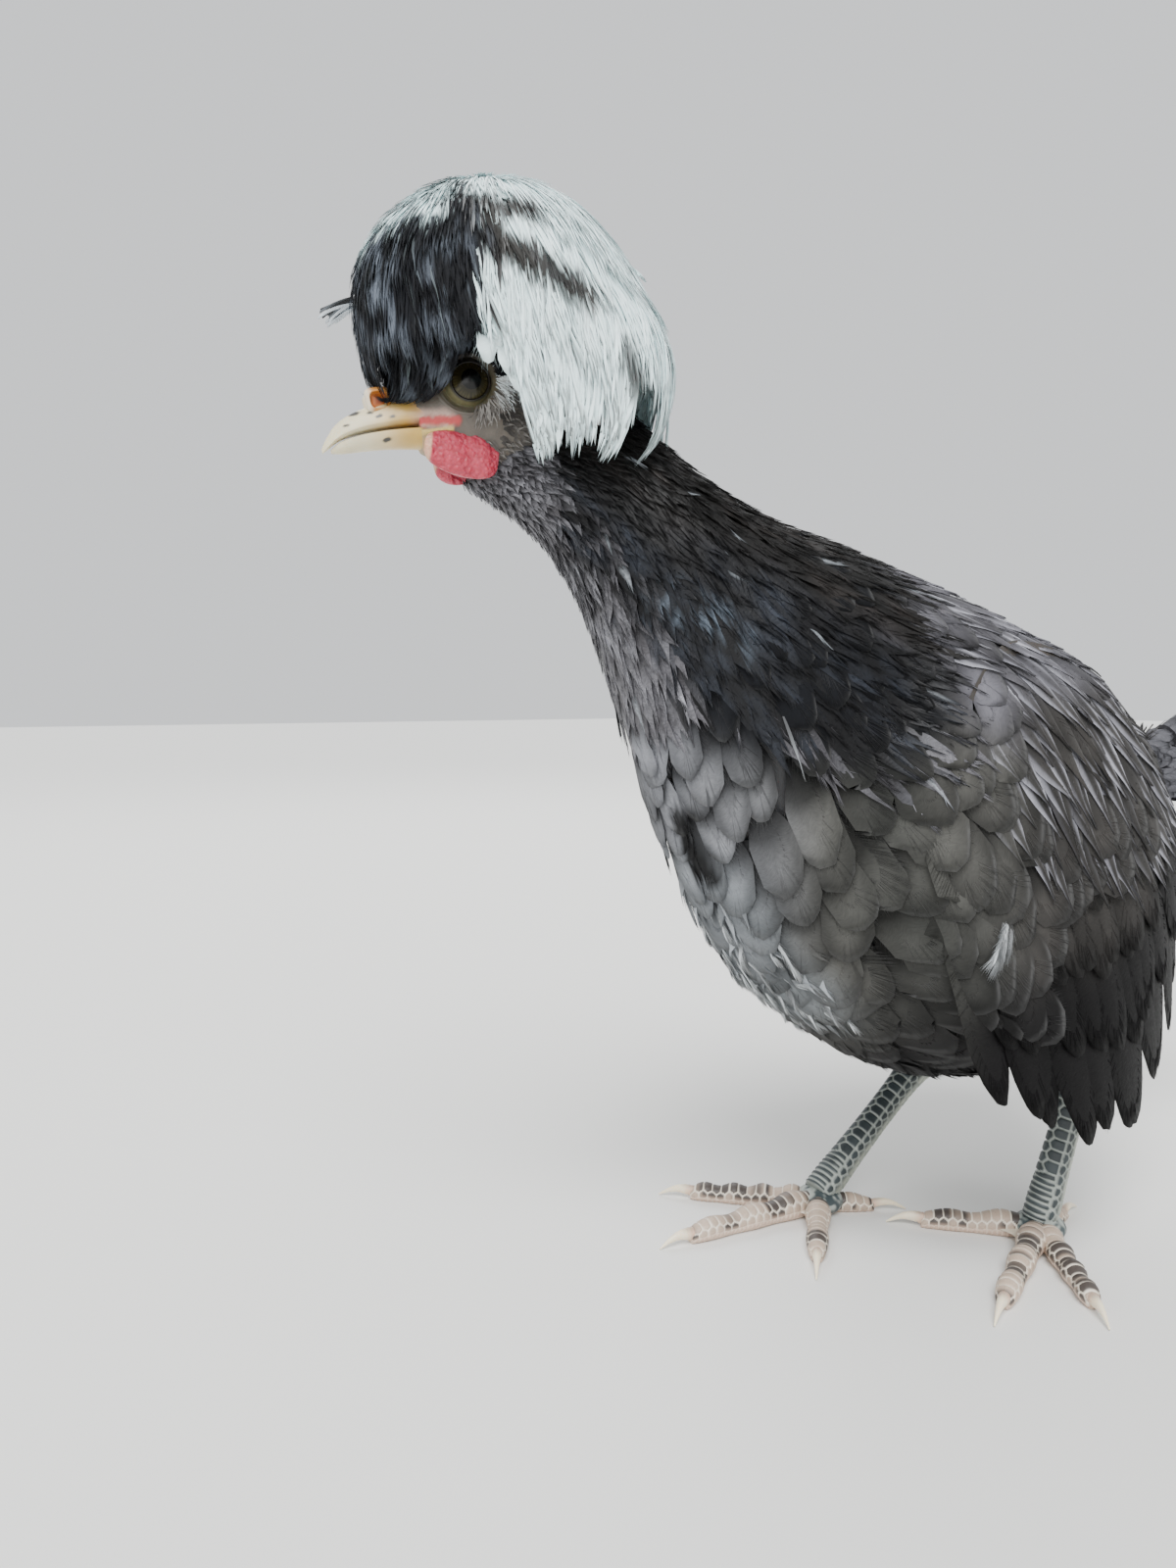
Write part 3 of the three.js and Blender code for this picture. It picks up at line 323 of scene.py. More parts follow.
def torso_out(x, z):
    """Half width of the torso at a place in the middle plane, 0 outside it"""
    low, high = np.zeros_like(x), np.full_like(x, TORSO_END)
    for _ in range(20):
        t = (low + high) / 2
        row = through(TRUNK, t)
        dx, dz = row[..., 0] - row[..., 2], row[..., 1] - row[..., 3]
        across = dx * (z - row[..., 3]) - dz * (x - row[..., 2])
        low, high = np.where(across > 0, t, low), np.where(across > 0, high, t)
    row = through(TRUNK, low)
    dx, dz = row[..., 0] - row[..., 2], row[..., 1] - row[..., 3]
    share = ((x - row[..., 2]) * dx + (z - row[..., 3]) * dz) / (dx**2 + dz**2)
    off = np.minimum(1, np.abs(2 * share - 1)) ** TRUNK_POWER
    return row[..., 4] * (1 - off) ** (1 / TRUNK_POWER)


def flank_out(x, z):
    """Distance of the wing's sheet from the middle plane, which rests on the torso"""
    dx = x - FLANK["x"]
    along = np.where(dx > 0, FLANK["rear"], FLANK["front"])
    turned = FLANK_REST["turn"] * np.maximum(0, dx) * np.maximum(0, z - FLANK["z"] - FLANK_REST["from"])
    up = np.where(z > FLANK["z"], FLANK["above"], FLANK["below"])
    sheet = FLANK["out"] - along * dx**2 - up * (z - FLANK["z"]) ** 2 - turned
    body = torso_out(x, z) + FLANK_REST["off"]
    return (sheet + body + np.hypot(sheet - body, FLANK_REST["round"])) / 2


FLANK_GRID = {"x": (-90, 150), "z": (20, 230), "step": 2.0}
grid_x = np.arange(FLANK_GRID["x"][0], FLANK_GRID["x"][1] + 1, FLANK_GRID["step"])
grid_z = np.arange(FLANK_GRID["z"][0], FLANK_GRID["z"][1] + 1, FLANK_GRID["step"])
flank_grid = flank_out(*np.meshgrid(grid_x, grid_z, indexing="ij"))


def flank_quick(x, z):
    """flank_out, read from a grid of it"""
    px = np.clip((x - grid_x[0]) / FLANK_GRID["step"], 0, len(grid_x) - 1.001)
    pz = np.clip((z - grid_z[0]) / FLANK_GRID["step"], 0, len(grid_z) - 1.001)
    i, j = px.astype(int), pz.astype(int)
    fx, fz = px - i, pz - j
    near = mix(flank_grid[i, j], flank_grid[i + 1, j], fx)
    far = mix(flank_grid[i, j + 1], flank_grid[i + 1, j + 1], fx)
    return mix(near, far, fz)


def wing_at(side, down, along, h=0.0):
    """Wing sheet: down from the shoulder line to the tips, along from front to rear"""
    top, tips = through(WING_TOP, along), through(WING_TIPS, along)
    flat = top + (tips - top) * np.asarray(down)[..., None]
    x, z = flat[..., 0], flat[..., 1]
    return xyz(x, side * (flank_quick(x, z) + h), z)


TAIL_AHEAD = np.array([math.cos(math.radians(TAIL["rise"])), 0, math.sin(math.radians(TAIL["rise"]))])
TAIL_ABOVE = np.array([-TAIL_AHEAD[2], 0, TAIL_AHEAD[0]])
TAIL_FROM = np.array([TAIL["x"], 0, TAIL["z"]])


def in_tail(along, y, above):
    """Point at lengths along the tail, to the right and above it"""
    along, y, above = [x[..., None] for x in np.broadcast_arrays(along, y, above)]
    return TAIL_FROM + along * TAIL_AHEAD + y * np.array([0, 1, 0]) + above * TAIL_ABOVE


def tail_at(along, across, h=0.0):
    """Tail roof: along in its full lengths, across from the left edge, -1, over the ridge to 1"""
    spread = mix(TAIL["root"], TAIL["tip"], np.maximum(along, 0)) * TAIL["count"]
    cos, sin = math.cos(math.radians(TAIL["slope"])), math.sin(math.radians(TAIL["slope"]))
    down = np.abs(across) * spread
    fallen = np.hypot(down * sin, TAIL["ridge"]) - TAIL["ridge"]
    off_ridge = smooth(np.abs(across), 0, 0.3)
    y = across * spread * cos + np.sign(across) * h * sin * off_ridge
    return in_tail(along * TAIL["long"], y, -fallen + h * mix(1, cos, off_ridge))


def tube_at(path, wide, high, share, turn, h=0.0, sideways=(0, 1, 0)):
    """Round tube on a path of equally spaced points, turn 270 degrees being its front or top"""
    at = through(path, share)
    ahead = unit(through(path, share + SMALL) - through(path, share - SMALL))
    up = unit(np.cross(ahead, np.asarray(sideways, float)))
    side = np.cross(up, ahead)
    w, t = through(wide, share) + h, through(high, share) + h
    return at + side * (w * np.cos(turn))[..., None] + up * (t * np.sin(turn))[..., None]


def thigh_at(side, share, turn, h=0.0):
    knee, hock = np.array(LEG[side]["knee"], float), np.array(LEG[side]["hock"], float)
    path = np.array([knee + (hock - knee) * (k / 4 * 0.96 - 0.08) for k in range(5)])
    wide = np.array(THIGH)
    return tube_at(path, wide, wide * 1.12, share, turn, h)


def wing_place(x, z):
    """Down, along and distance from the wing's sheet of places in the side view"""
    along = np.linspace(0, 1, 33)
    top, tips = through(WING_TOP, along), through(WING_TIPS, along)
    way = tips - top
    dx, dz = x[..., None] - top[:, 0], z[..., None] - top[:, 1]
    down = (dx * way[:, 0] + dz * way[:, 1]) / (way**2).sum(-1)
    off = np.hypot(dx - down * way[:, 0], dz - down * way[:, 1])
    best = off.argmin(-1)[..., None]
    down, off = [np.take_along_axis(x, best, -1)[..., 0] for x in (down, off)]
    return down, along[best[..., 0]], off


SIDE_RAMP = 20  # from the breast up onto the wing's front edge


def side_at(t, turn, h=0.0):
    """Trunk surface that climbs over the front and the upper half of the folded wings"""
    p = trunk_at(t, turn, h)
    down, _, off = wing_place(p[..., 0], p[..., 2])
    over = (1 - smooth(off, 1, SIDE_RAMP)) * smooth(down, -0.2, 0.06) * smooth(np.sin(turn), -0.92, -0.62)
    target = flank_quick(p[..., 0], p[..., 2]) + mix(7.5, 3.6, smooth(down, 0, 0.55)) + h
    out = np.abs(p[..., 1])
    p[..., 1] = np.sign(p[..., 1]) * (out + over * np.maximum(target - out, 0))
    return p


# Line above the eyes and over the bill where the crest's dark front ends: ahead, out, up
BROW = np.array([
    [-9, -14.2, 6.5],
    [-3, -14.5, 5.2],
    [2.5, -13.9, 5.0],
    [6.4, -12.3, 1.8],
    [10, -9.8, -2.4],
    [14, -8.3, -2.9],
    [18, -6.8, -1.8],
    [22, -4.4, -0.2],
    [23.4, 0, 1.2],
], float)
BROW = np.concatenate([BROW, BROW[-2::-1] * np.array([1, -1, 1])])


def brow_at(a, b, h=0.0):
    """Underside of the crest's front: a from the shell in to the brow, b from the left eye to the right"""
    a, b = np.broadcast_arrays(a, b)
    turn = FULL + b * math.radians(100)
    shell = crest_at(np.full_like(a, math.radians(72)), turn, -1.5)
    bulge = crest_at(np.full_like(a, math.radians(121)), turn, -1.0)
    line = through(BROW, (b + 1) / 2)
    end = in_head(line[..., 0], line[..., 1], line[..., 2])
    k = a[..., None]
    at = (1 - k) ** 2 * shell + 2 * k * (1 - k) * bulge + k * k * end
    return at + unit(at - in_head(-8.0, 0.0, 9.0)) * np.asarray(h)[..., None]


class Bed:
    """Surface that plumage lies on, with the place of its unwrap in the OFBake map"""

    def __init__(self, at, spans, patch):
        self.at = at
        self.spans = spans
        self.patch = patch

    def ways(self, a, b):
        """Surface's change from a small step before a place to one after it, for each parameter"""
        return [
            self.at(a + da, b + db, 0.0) - self.at(a - da, b - db, 0.0)
            for da, db in ((SMALL, 0), (0, SMALL))
        ]

    def scale(self, a, b):
        """Millimetres to one unit of each parameter"""
        return [np.maximum(np.linalg.norm(way, axis=-1) / (2 * SMALL), 1e-3) for way in self.ways(a, b)]

    def outward(self, roots):
        """1 where a then b turn anticlockwise seen from outside, else -1"""
        a, b = roots[:, 0].mean(keepdims=True), roots[:1, 1]
        out = self.at(a, b, 1.0) - self.at(a, b, 0.0)
        return float(np.sign(np.sum(np.cross(*self.ways(a, b)) * out)))

    def unwrap(self, a, b):
        (a0, a1), (b0, b1) = self.spans
        x0, y0, x1, y1 = self.patch
        u = mix(x0, x1, np.clip((a - a0) / (a1 - a0), 0, 1))
        wrapped = (b - b0) % (b1 - b0) if b1 - b0 == FULL else b - b0
        return np.stack([u, mix(y0, y1, np.clip(wrapped / (b1 - b0), 0, 1))], -1)


trunk_bed = Bed(lambda a, b, h=0.0: trunk_at(1 - a, b, h), ((0, 1), (0, FULL)), (0.01, 0.01, 0.99, 0.47))
side_bed = Bed(lambda a, b, h=0.0: side_at(1 - a, b, h), ((0, 1), (0, FULL)), (0.01, 0.01, 0.99, 0.47))
brow_bed = Bed(brow_at, ((-0.1, 1.1), (-1, 1)), (0.32, 0.5, 0.64, 0.99))
head_bed = Bed(lambda a, b, h=0.0: head_at(1 - a, b, h), ((0, 1), (0, FULL)), (0.01, 0.5, 0.3, 0.74))
crest_bed = Bed(crest_at, ((0, math.pi), (0, FULL)), (0.32, 0.5, 0.64, 0.99))
wing_beds = {
    side: Bed(lambda a, b, h=0.0, side=side: wing_at(side, a, b, h), ((-0.1, 1.1), (-0.1, 1.1)), patch)
    for side, patch in ((LEFT, (0.66, 0.5, 0.81, 0.99)), (RIGHT, (0.83, 0.5, 0.99, 0.99)))
}
tail_bed = Bed(tail_at, ((-0.2, 1.1), (-1.1, 1.1)), (0.01, 0.76, 0.14, 0.99))
thigh_beds = {
    side: Bed(lambda a, b, h=0.0, side=side: thigh_at(side, a, b, h), ((-0.1, 1.1), (0, FULL)), patch)
    for side, patch in ((LEFT, (0.16, 0.76, 0.22, 0.99)), (RIGHT, (0.24, 0.76, 0.3, 0.99)))
}


# Meshes
class Shape:
    """Points, faces and colours gathered for one piece"""

    def __init__(self):
        self.points, self.quads, self.tris, self.tint, self.vane, self.bake = [], [], [], [], [], []
        self.count = 0

    def add(self, points, quads, tris, tint, vane=None, bake=None):
        n = len(points)
        self.points.append(points)
        self.quads.append(np.asarray(quads, int).reshape(-1, 4) + self.count)
        self.tris.append(np.asarray(tris, int).reshape(-1, 3) + self.count)
        self.tint.append(np.broadcast_to(tint, (n, 3)))
        self.vane.append(np.zeros((n, 3)) if vane is None else vane)
        self.bake.append(np.zeros((n, 2)) if bake is None else bake)
        self.count += n


def placed(name, data):
    """Object of some data in the scene"""
    made = bpy.data.objects.new(name, data)
    bpy.context.scene.collection.objects.link(made)
    return made


def piece(name, shape, finish, replaced=(), baked=False):
    """Blender object of a shape, in the shared frame"""
    points = (np.concatenate(shape.points) + SHIFT) / 1000
    quads, tris = np.concatenate(shape.quads), np.concatenate(shape.tris)
    loops = np.concatenate([quads.ravel(), tris.ravel()])
    totals = np.concatenate([np.full(len(quads), 4), np.full(len(tris), 3)])
    starts = np.concatenate([[0], np.cumsum(totals)[:-1]])
    mesh = bpy.data.meshes.new(name)
    mesh.vertices.add(len(points))
    mesh.vertices.foreach_set("co", points.astype(np.float32).ravel())
    mesh.loops.add(len(loops))
    mesh.loops.foreach_set("vertex_index", loops.astype(np.int32))
    mesh.polygons.add(len(totals))
    mesh.polygons.foreach_set("loop_start", starts.astype(np.int32))
    mesh.polygons.foreach_set("use_smooth", np.ones(len(totals), bool))
    colours = np.ones((len(points), 4), np.float32)
    colours[:, :3] = np.clip(np.concatenate(shape.tint), 0, 1)
    mesh.attributes.new("tint", "FLOAT_COLOR", "POINT").data.foreach_set("color", colours.ravel())
    vane = np.concatenate(shape.vane).astype(np.float32)
    mesh.attributes.new("vane", "FLOAT_VECTOR", "POINT").data.foreach_set("vector", vane.ravel())
    if baked:
        spots = np.concatenate(shape.bake).astype(np.float32)[loops]
        mesh.uv_layers.new(name="OFBake").data.foreach_set("uv", spots.ravel())
    mesh.update(calc_edges=True)
    mesh.validate()
    mesh.materials.append(finish)
    made = placed(name, mesh)
    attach(made, "root")
    if replaced:
        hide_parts(*replaced)


def grid_faces(rows, columns, closed=False):
    """Quads of a grid of points, closed round its columns or not"""
    i, j = np.meshgrid(np.arange(rows - 1), np.arange(columns if closed else columns - 1), indexing="ij")
    a, b = i * columns + j, i * columns + (j + 1) % columns
    return np.stack([a, b, b + columns, a + columns], -1).reshape(-1, 4)


def add_grid(shape, points, tint, closed=False, caps=(), flip=False):
    """Grid of points (rows, columns, 3), with fans over the ends named in caps"""
    rows, columns = points.shape[:2]
    quads = grid_faces(rows, columns, closed)
    flat = points.reshape(-1, 3)
    tints = np.broadcast_to(tint, points.shape).reshape(-1, 3)
    tris = []
    for end in caps:
        start = 0 if end == 0 else (rows - 1) * columns
        ring = np.arange(start, start + columns)
        middle = len(flat)
        flat = np.concatenate([flat, flat[ring].mean(0, keepdims=True)])
        tints = np.concatenate([tints, tints[ring].mean(0, keepdims=True)])
        following = np.roll(ring, -1)
        fan = np.stack([following, ring, np.full(columns, middle)], -1)
        tris.append(fan if end == 0 else fan[:, ::-1])
    tris = np.concatenate(tris) if tris else np.zeros((0, 3), int)
    if flip:
        quads, tris = quads[:, ::-1], tris[:, ::-1]
    shape.add(flat, quads, tris, tints)


# Plumage
def scatter(bed, a_span, b_span, along, across, rng, jitter=0.22):
    """Roots in staggered rows: along and across are the spacings in millimetres at a place a"""
    roots = []
    a = a_span[0]
    row = 0
    while a < a_span[1]:
        b = np.linspace(b_span[0], b_span[1], 90)
        line = bed.at(np.full_like(b, a), b)
        lengths = np.concatenate([[0], np.cumsum(np.linalg.norm(np.diff(line, axis=0), axis=1))])
        count = max(3, int(round(lengths[-1] / across(a))))
        shares = (np.arange(count) + 0.25 + 0.5 * (row % 2)) / count
        shares = shares + rng.uniform(-jitter, jitter, count) / count
        roots_b = np.interp(shares * lengths[-1], lengths, b)
        scale = bed.scale(np.array([a]), np.array([(b_span[0] + b_span[1]) / 2]))[0][0]
        step = along(a) / scale
        roots_a = a + rng.uniform(-jitter, jitter, count) * step
        roots.append(np.stack([roots_a, roots_b], -1))
        a += step
        row += 1
    return np.concatenate(roots)


def rounded(v):
    """Share of its width that a contour feather has along its length"""
    return 0.35 + 0.65 * smooth(v, 0, 0.55)


def pointed(v):
    return (0.3 + 0.7 * smooth(v, 0, 0.4)) * (1 - 0.92 * smooth(v, 0.5, 1.02) ** 1.15)


def strand(v):
    return (0.45 + 0.55 * smooth(v, 0, 0.3)) * (1 - 0.9 * smooth(v, 0.45, 1.02))


BAKE_HALF = 0.0015  # half the width of a feather's own patch in the OFBake map


def cube(values):
    """One value for each feather, ready to meet grids of its rows and columns"""
    return values[:, None, None]


def painted(colour, points, roots, rnd, u, v):
    """Colours of points on feathers, from places across u and along v, roots and a random number each"""
    values = np.broadcast_arrays(u, v, cube(roots[:, 0]), cube(roots[:, 1]), cube(rnd), points[..., 0])
    return colour(dict(zip("uvab", values), rnd=values[4], p=points))


# Meshes of narrow feathers and of hairs
SLIM = {"columns": 2, "keel": False, "outline": pointed}
HAIR = {"columns": 2, "keel": False, "outline": strand}


def feathers(shape, bed, roots, rng, *, length, half, colour, tilt=0.0, bend=0.0, low=-3.0, high=0.3,
             power=0.8, camber=0.5, outline=rounded, blunt=0.3, ragged=0.0, rows=8, columns=4, thick=0.15,
             keel=True, wave=0.0, spread=0.12, lift=0.0, sway=0.0, fringe=0, barb=(5.5, 2.2, 0.2)):
    """Closed vanes from their roots over the bed.

    length, half, tilt, bend, low, high and sway are one for all or one for each root. low and high are
    the heights of root and tip, tilt and bend turn the feather, sway and wave shift it sideways. fringe
    counts its loose barbs, and barb is their length, their reach past the edge and half their width.
    """
    n = len(roots)
    if n == 0:
        return
    a, b = roots.T
    length, half, bend, low, sway = [np.broadcast_to(x, n) for x in (length, half, bend, low, sway)]
    tilt = np.broadcast_to(tilt, n) + spread * rng.normal(size=n)
    high = np.broadcast_to(high, n) + lift * rng.uniform(-1, 1, n)
    track = []
    for share in np.linspace(0, 1, rows + 1):
        la, lb = bed.scale(a, b)
        angle = tilt + bend * share
        track.append((a, b, la, lb, angle))
        a = a + np.cos(angle) * length / rows / la
        b = b + np.sin(angle) * length / rows / lb
    track = [np.stack(x, 1) for x in zip(*track)]
    mid_a, mid_b, la, lb, angle = [x[:, :, None] for x in track]
    v, u = steps(0, 1, rows + 1)[None], np.linspace(-1, 1, columns + 1)[None, None]
    sideways = u * (cube(half) * outline(v))
    back = -cube(length) * v * blunt * np.abs(u) ** 2.2 * 0.5
    tatter = rng.uniform(-1, 1, (n, 1, columns + 1)) * ragged
    back = back + cube(length) * tatter * smooth(v, 0.55, 1)
    phase = rng.uniform(0, FULL, (n, 1, 1))
    swing = sideways + (wave * np.sin(phase + v * 5) * v + cube(sway) * v**1.5)
    aa = mid_a - np.sin(angle) * swing / la + np.cos(angle) * back / la
    bb = mid_b + np.cos(angle) * swing / lb + np.sin(angle) * back / lb
    rise = cube(low) + cube(high - low) * v**power
    top = bed.at(aa, bb, rise - camber * np.abs(u) ** 1.6 * (0.4 + 0.6 * v))
    rnd = rng.uniform(0, 1, n)
    tint = painted(colour, top, roots, rnd, u, v)
    vane = xyz(sideways, cube(length) * v, cube(rnd))
    spot = bed.unwrap(roots[:, 0], roots[:, 1])[:, None, None, :]
    bake = spot + BAKE_HALF * np.stack(np.broadcast_arrays(u, 2 * v - 1 + 0 * sideways), -1)
    # Lower face: both rims and, where there is a keel, a line under the middle
    below = [0, columns // 2, columns] if keel else [0, columns]
    under = top[:, :, below]
    if keel:
        sunk = rise[:, :, 0] - (camber * (0.4 + 0.6 * v[:, :, 0]) + thick)
        under[:, :, 1] = bed.at(aa[:, :, below[1]], bb[:, :, below[1]], sunk)

    def joined(upper, lower):
        """Points of the upper face, then those of the lower one, feather by feather"""
        size = upper.shape[-1]
        return np.concatenate([upper.reshape(n, -1, size), lower.reshape(n, -1, size)], 1).reshape(-1, size)

    first_below = (rows + 1) * (columns + 1)
    count = first_below + (rows + 1) * len(below)
    quads = [
        grid_faces(rows + 1, columns + 1)[:, ::-1],
        grid_faces(rows + 1, len(below)) + first_below,
    ]
    ends = []
    for row, order in ((0, 1), (rows, -1)):
        ring = row * (columns + 1) + np.arange(columns + 1)
        pivot = first_below + row * len(below) + (1 if keel else 0)
        ends += [(pivot, p, q)[::order] for p, q in zip(ring[:-1], ring[1:])]
    starts = cube(np.arange(n) * count)
    order = 1 if bed.outward(roots) > 0 else -1  # of the corners, so that faces look outward
    quads = (np.concatenate(quads) + starts).reshape(-1, 4)[:, ::order]
    tris = (np.array(ends) + starts).reshape(-1, 3)[:, ::order]
    shape.add(joined(top, under), quads, tris, *[joined(x, x[:, :, below]) for x in (tint, vane, bake)])
    if not fringe:
        return

    # Loose barbs round the outer edge, each a thin spike that leaves the shaft at a slant
    def on_vane(v, across, above):
        """Place on the feathers' curved middle faces, v along them and across in millimetres"""
        place = np.clip(v, 0, 1.3) * rows
        i = np.minimum(place.astype(int), rows - 1)
        f = place - i
        at_a, at_b, sa, sb, way = [
            np.take_along_axis(x, i, 1) * (1 - f) + np.take_along_axis(x, i + 1, 1) * f for x in track
        ]
        shift = sway[:, None] * np.maximum(v, 0) ** 1.5 + across
        share = np.minimum(np.abs(across) / (half[:, None] * outline(np.clip(v, 0, 1))), 1.3)
        height = low[:, None] + (high - low)[:, None] * np.clip(v, 0.01, 1) ** power
        height = height - camber * share**1.6 * (0.4 + 0.6 * np.clip(v, 0, 1.2)) + above
        return bed.at(at_a - np.sin(way) * shift / sa, at_b + np.cos(way) * shift / sb, height)

    def drawn(low, high):
        return rng.uniform(low, high, (n, fringe))

    barb_long, barb_out, barb_wide = barb
    at_side = drawn(0, 1) < 0.5
    edge_u = np.where(at_side, np.sign(drawn(-1, 1)), drawn(-1, 1))
    edge_v = np.where(at_side, drawn(0.5, 1), 1.0)
    long_out = barb_out * drawn(0.15, 1)
    slant = edge_u * mix(0.95, 0.6, edge_v)
    size, width = length[:, None], half[:, None] * outline(edge_v)
    along = size * edge_v * (1 - blunt * 0.5 * np.abs(edge_u) ** 2.2)
    across = edge_u * width
    ca, sa = np.cos(slant), np.sin(slant)
    base_along, base_across = along - ca * barb_long, across - sa * barb_long
    base_across = np.where(base_across * np.sign(edge_u) < 0, 0.0, base_across)
    points = np.stack([
        on_vane((base_along + sa * barb_wide) / size, base_across - ca * barb_wide, 0.07),
        on_vane((base_along - sa * barb_wide) / size, base_across + ca * barb_wide, 0.07),
        on_vane(base_along / size, base_across, -0.1),
        on_vane((along + ca * long_out) / size, across + sa * long_out, drawn(-0.3, 0.5)),
    ], 2)
    is_tip = np.arange(4) == 3
    corner_u = np.where(is_tip, edge_u[..., None], (base_across / width)[..., None])
    corner_v = np.where(is_tip, edge_v[..., None], np.clip(base_along / size, 0, 1)[..., None])
    tint = painted(colour, points, roots, rnd, corner_u, corner_v)
    tint = tint * rng.uniform(0.9, 1.1, (n, fringe, 1, 1))
    vane = xyz(0.0, drawn(0, 9)[..., None] + np.zeros(4), cube(rnd))
    bake = spot + BAKE_HALF * np.stack([edge_u, 2 * edge_v - 1], -1)[:, :, None, :] + np.zeros((4, 1))
    faces = np.array([(0, 3, 1), (0, 2, 3), (1, 3, 2), (0, 1, 2)]) + 4 * cube(np.arange(n * fringe))
    shape.add(points.reshape(-1, 3), [], faces.reshape(-1, 3)[:, ::order], tint.reshape(-1, 3),
              vane.reshape(-1, 3), bake.reshape(-1, 2))


# Materials
def node(tree, kind, inputs, **settings):
    """New shader node with its settings, and its inputs set or linked"""
    made = tree.nodes.new("ShaderNode" + kind)
    for name, value in settings.items():
        setattr(made, name, value)
    set_inputs(tree, made, inputs)
    return made


def set_inputs(tree, made, inputs):
    for name, value in inputs.items():
        if isinstance(value, bpy.types.NodeSocket):
            tree.links.new(value, made.inputs[name])
        else:
            made.inputs[name].default_value = value


def math_node(tree, operation, *values):
    return node(tree, "Math", dict(enumerate(values)), operation=operation).outputs[0]


def noise_node(tree, scale, detail=4.0, roughness=0.55, vector=None):
    if vector is None:
        vector = node(tree, "TexCoord", {}).outputs["Object"]
    inputs = {"Scale": scale, "Detail": detail, "Roughness": roughness, "Vector": vector}
    return node(tree, "TexNoise", inputs).outputs["Fac"]


def attribute(tree, name, output):
    return node(tree, "Attribute", {}, attribute_name=name).outputs[output]


def varied(tree, fine, amount, value):
    """Value moved up and down by a noise"""
    return math_node(tree, "MULTIPLY_ADD", math_node(tree, "SUBTRACT", fine, 0.5), amount, value)


def finish_of(name):
    finish = bpy.data.materials.new(name)
    finish.use_nodes = True
    return finish, finish.node_tree, finish.node_tree.nodes["Principled BSDF"]


def coloured(tree, shader, value, height, inputs, bump, depth=0.0002):
    """Sets the shader's colour to the tint times a value, its bump and its other inputs"""
    scaled = node(tree, "VectorMath", {0: attribute(tree, "tint", "Color"), "Scale": value},
                  operation="SCALE")
    raised = node(tree, "Bump", {"Strength": bump, "Distance": depth, "Height": height})
    set_inputs(tree, shader, {"Base Color": scaled.outputs[0], "Normal": raised.outputs[0], **inputs})


def plumage_finish(name, barb=0.5, contrast=0.3, roughness=0.6, bump=0.5, gloss=0.3, sheen=0.15):
    """Feathers: tint, barbs slanting from the shaft, and a fine uneven gloss"""
    finish, tree, shader = finish_of(name)
    across, along, number = node(tree, "SeparateXYZ", {0: attribute(tree, "vane", "Vector")}).outputs
    slant = math_node(tree, "MULTIPLY_ADD", math_node(tree, "ABSOLUTE", across), -0.9, along)
    lines = node(tree, "CombineXYZ", {
        0: math_node(tree, "DIVIDE", slant, barb),
        1: math_node(tree, "MULTIPLY", across, 0.3),
        2: math_node(tree, "MULTIPLY", number, 90.0),
    })
    wave = noise_node(tree, 1.6, 2.0, 0.6, lines.outputs[0])
    mottle = noise_node(tree, 900, 3.0)
    value = varied(tree, mottle, contrast * 1.2, varied(tree, wave, contrast * 2.4, 1.0))
    coloured(tree, shader, value, math_node(tree, "ADD", wave, mottle), {
        "Roughness": math_node(tree, "MULTIPLY_ADD", mottle, 0.25, roughness - 0.12),
        "Specular IOR Level": gloss,
        "Sheen Weight": sheen,
        "Sheen Roughness": 0.5,
    }, bump)
    return finish


def surface_finish(name, *, grain=900, contrast=0.15, roughness=0.5, bump=0.3, depth=0.0002, gloss=0.5,
                   soft=0.0, soft_colour=(1, 0.3, 0.2), cells=0.0):
    """Skin, scale and horn: tint with a fine uneven grain and bump"""
    finish, tree, shader = finish_of(name)
    height = fine = noise_node(tree, grain, 4.0)
    value = varied(tree, fine, contrast * 2, 1.0)
    if cells:
        object_space = node(tree, "TexCoord", {}).outputs["Object"]
        off = node(tree, "TexVoronoi", {"Scale": cells, "Vector": object_space}).outputs["Distance"]
        height = math_node(tree, "MULTIPLY_ADD", off, -1.2, fine)
        # darker away from the cell middles: painted shade in the creases between the pebbles
        value = math_node(tree, "MULTIPLY_ADD", off, -0.25, math_node(tree, "ADD", value, 0.1))
    coloured(tree, shader, value, height, {
        "Roughness": math_node(tree, "MULTIPLY_ADD", fine, 0.3, roughness - 0.15),
        "Specular IOR Level": gloss,
        "Subsurface Weight": soft,
        "Subsurface Radius": soft_colour,
        "Subsurface Scale": 0.0015,
    }, bump, depth)
    return finish


body_finish = plumage_finish("body plumage", barb=0.5, contrast=0.28, roughness=0.85, bump=0.12, gloss=0.1,
                             sheen=0.06)
hackle_finish = plumage_finish("hackle plumage", barb=0.8, roughness=0.45, bump=0.35, gloss=0.2,
                               contrast=0.6, sheen=0.0)
white_finish = plumage_finish("white crest", contrast=0.1, roughness=0.8, bump=0.2, sheen=0.35)
dark_finish = plumage_finish("dark crest", contrast=0.4, roughness=0.65, bump=0.3, gloss=0.12, sheen=0.03)
flight_finish = plumage_finish("flight feathers", barb=0.6, contrast=0.4, roughness=0.6, gloss=0.08,
                               sheen=0.0)
skin_finish = surface_finish("skin", grain=1400, contrast=0.25, bump=0.5, soft=0.15)
wattle_finish = surface_finish("wattle", grain=700, contrast=0.22, bump=0.6, depth=0.0006, soft=0.3,
                               cells=900, roughness=0.45)
horn_finish = surface_finish("horn", grain=500, contrast=0.06, bump=0.12, roughness=0.38, soft=0.3,
                             soft_colour=(1, 0.7, 0.4))
scale_finish = surface_finish("scales", grain=1500, contrast=0.2, bump=0.35, roughness=0.5)
eye_finish = surface_finish("eye", grain=2500, contrast=0.1, bump=0.0, roughness=0.22, gloss=0.3)

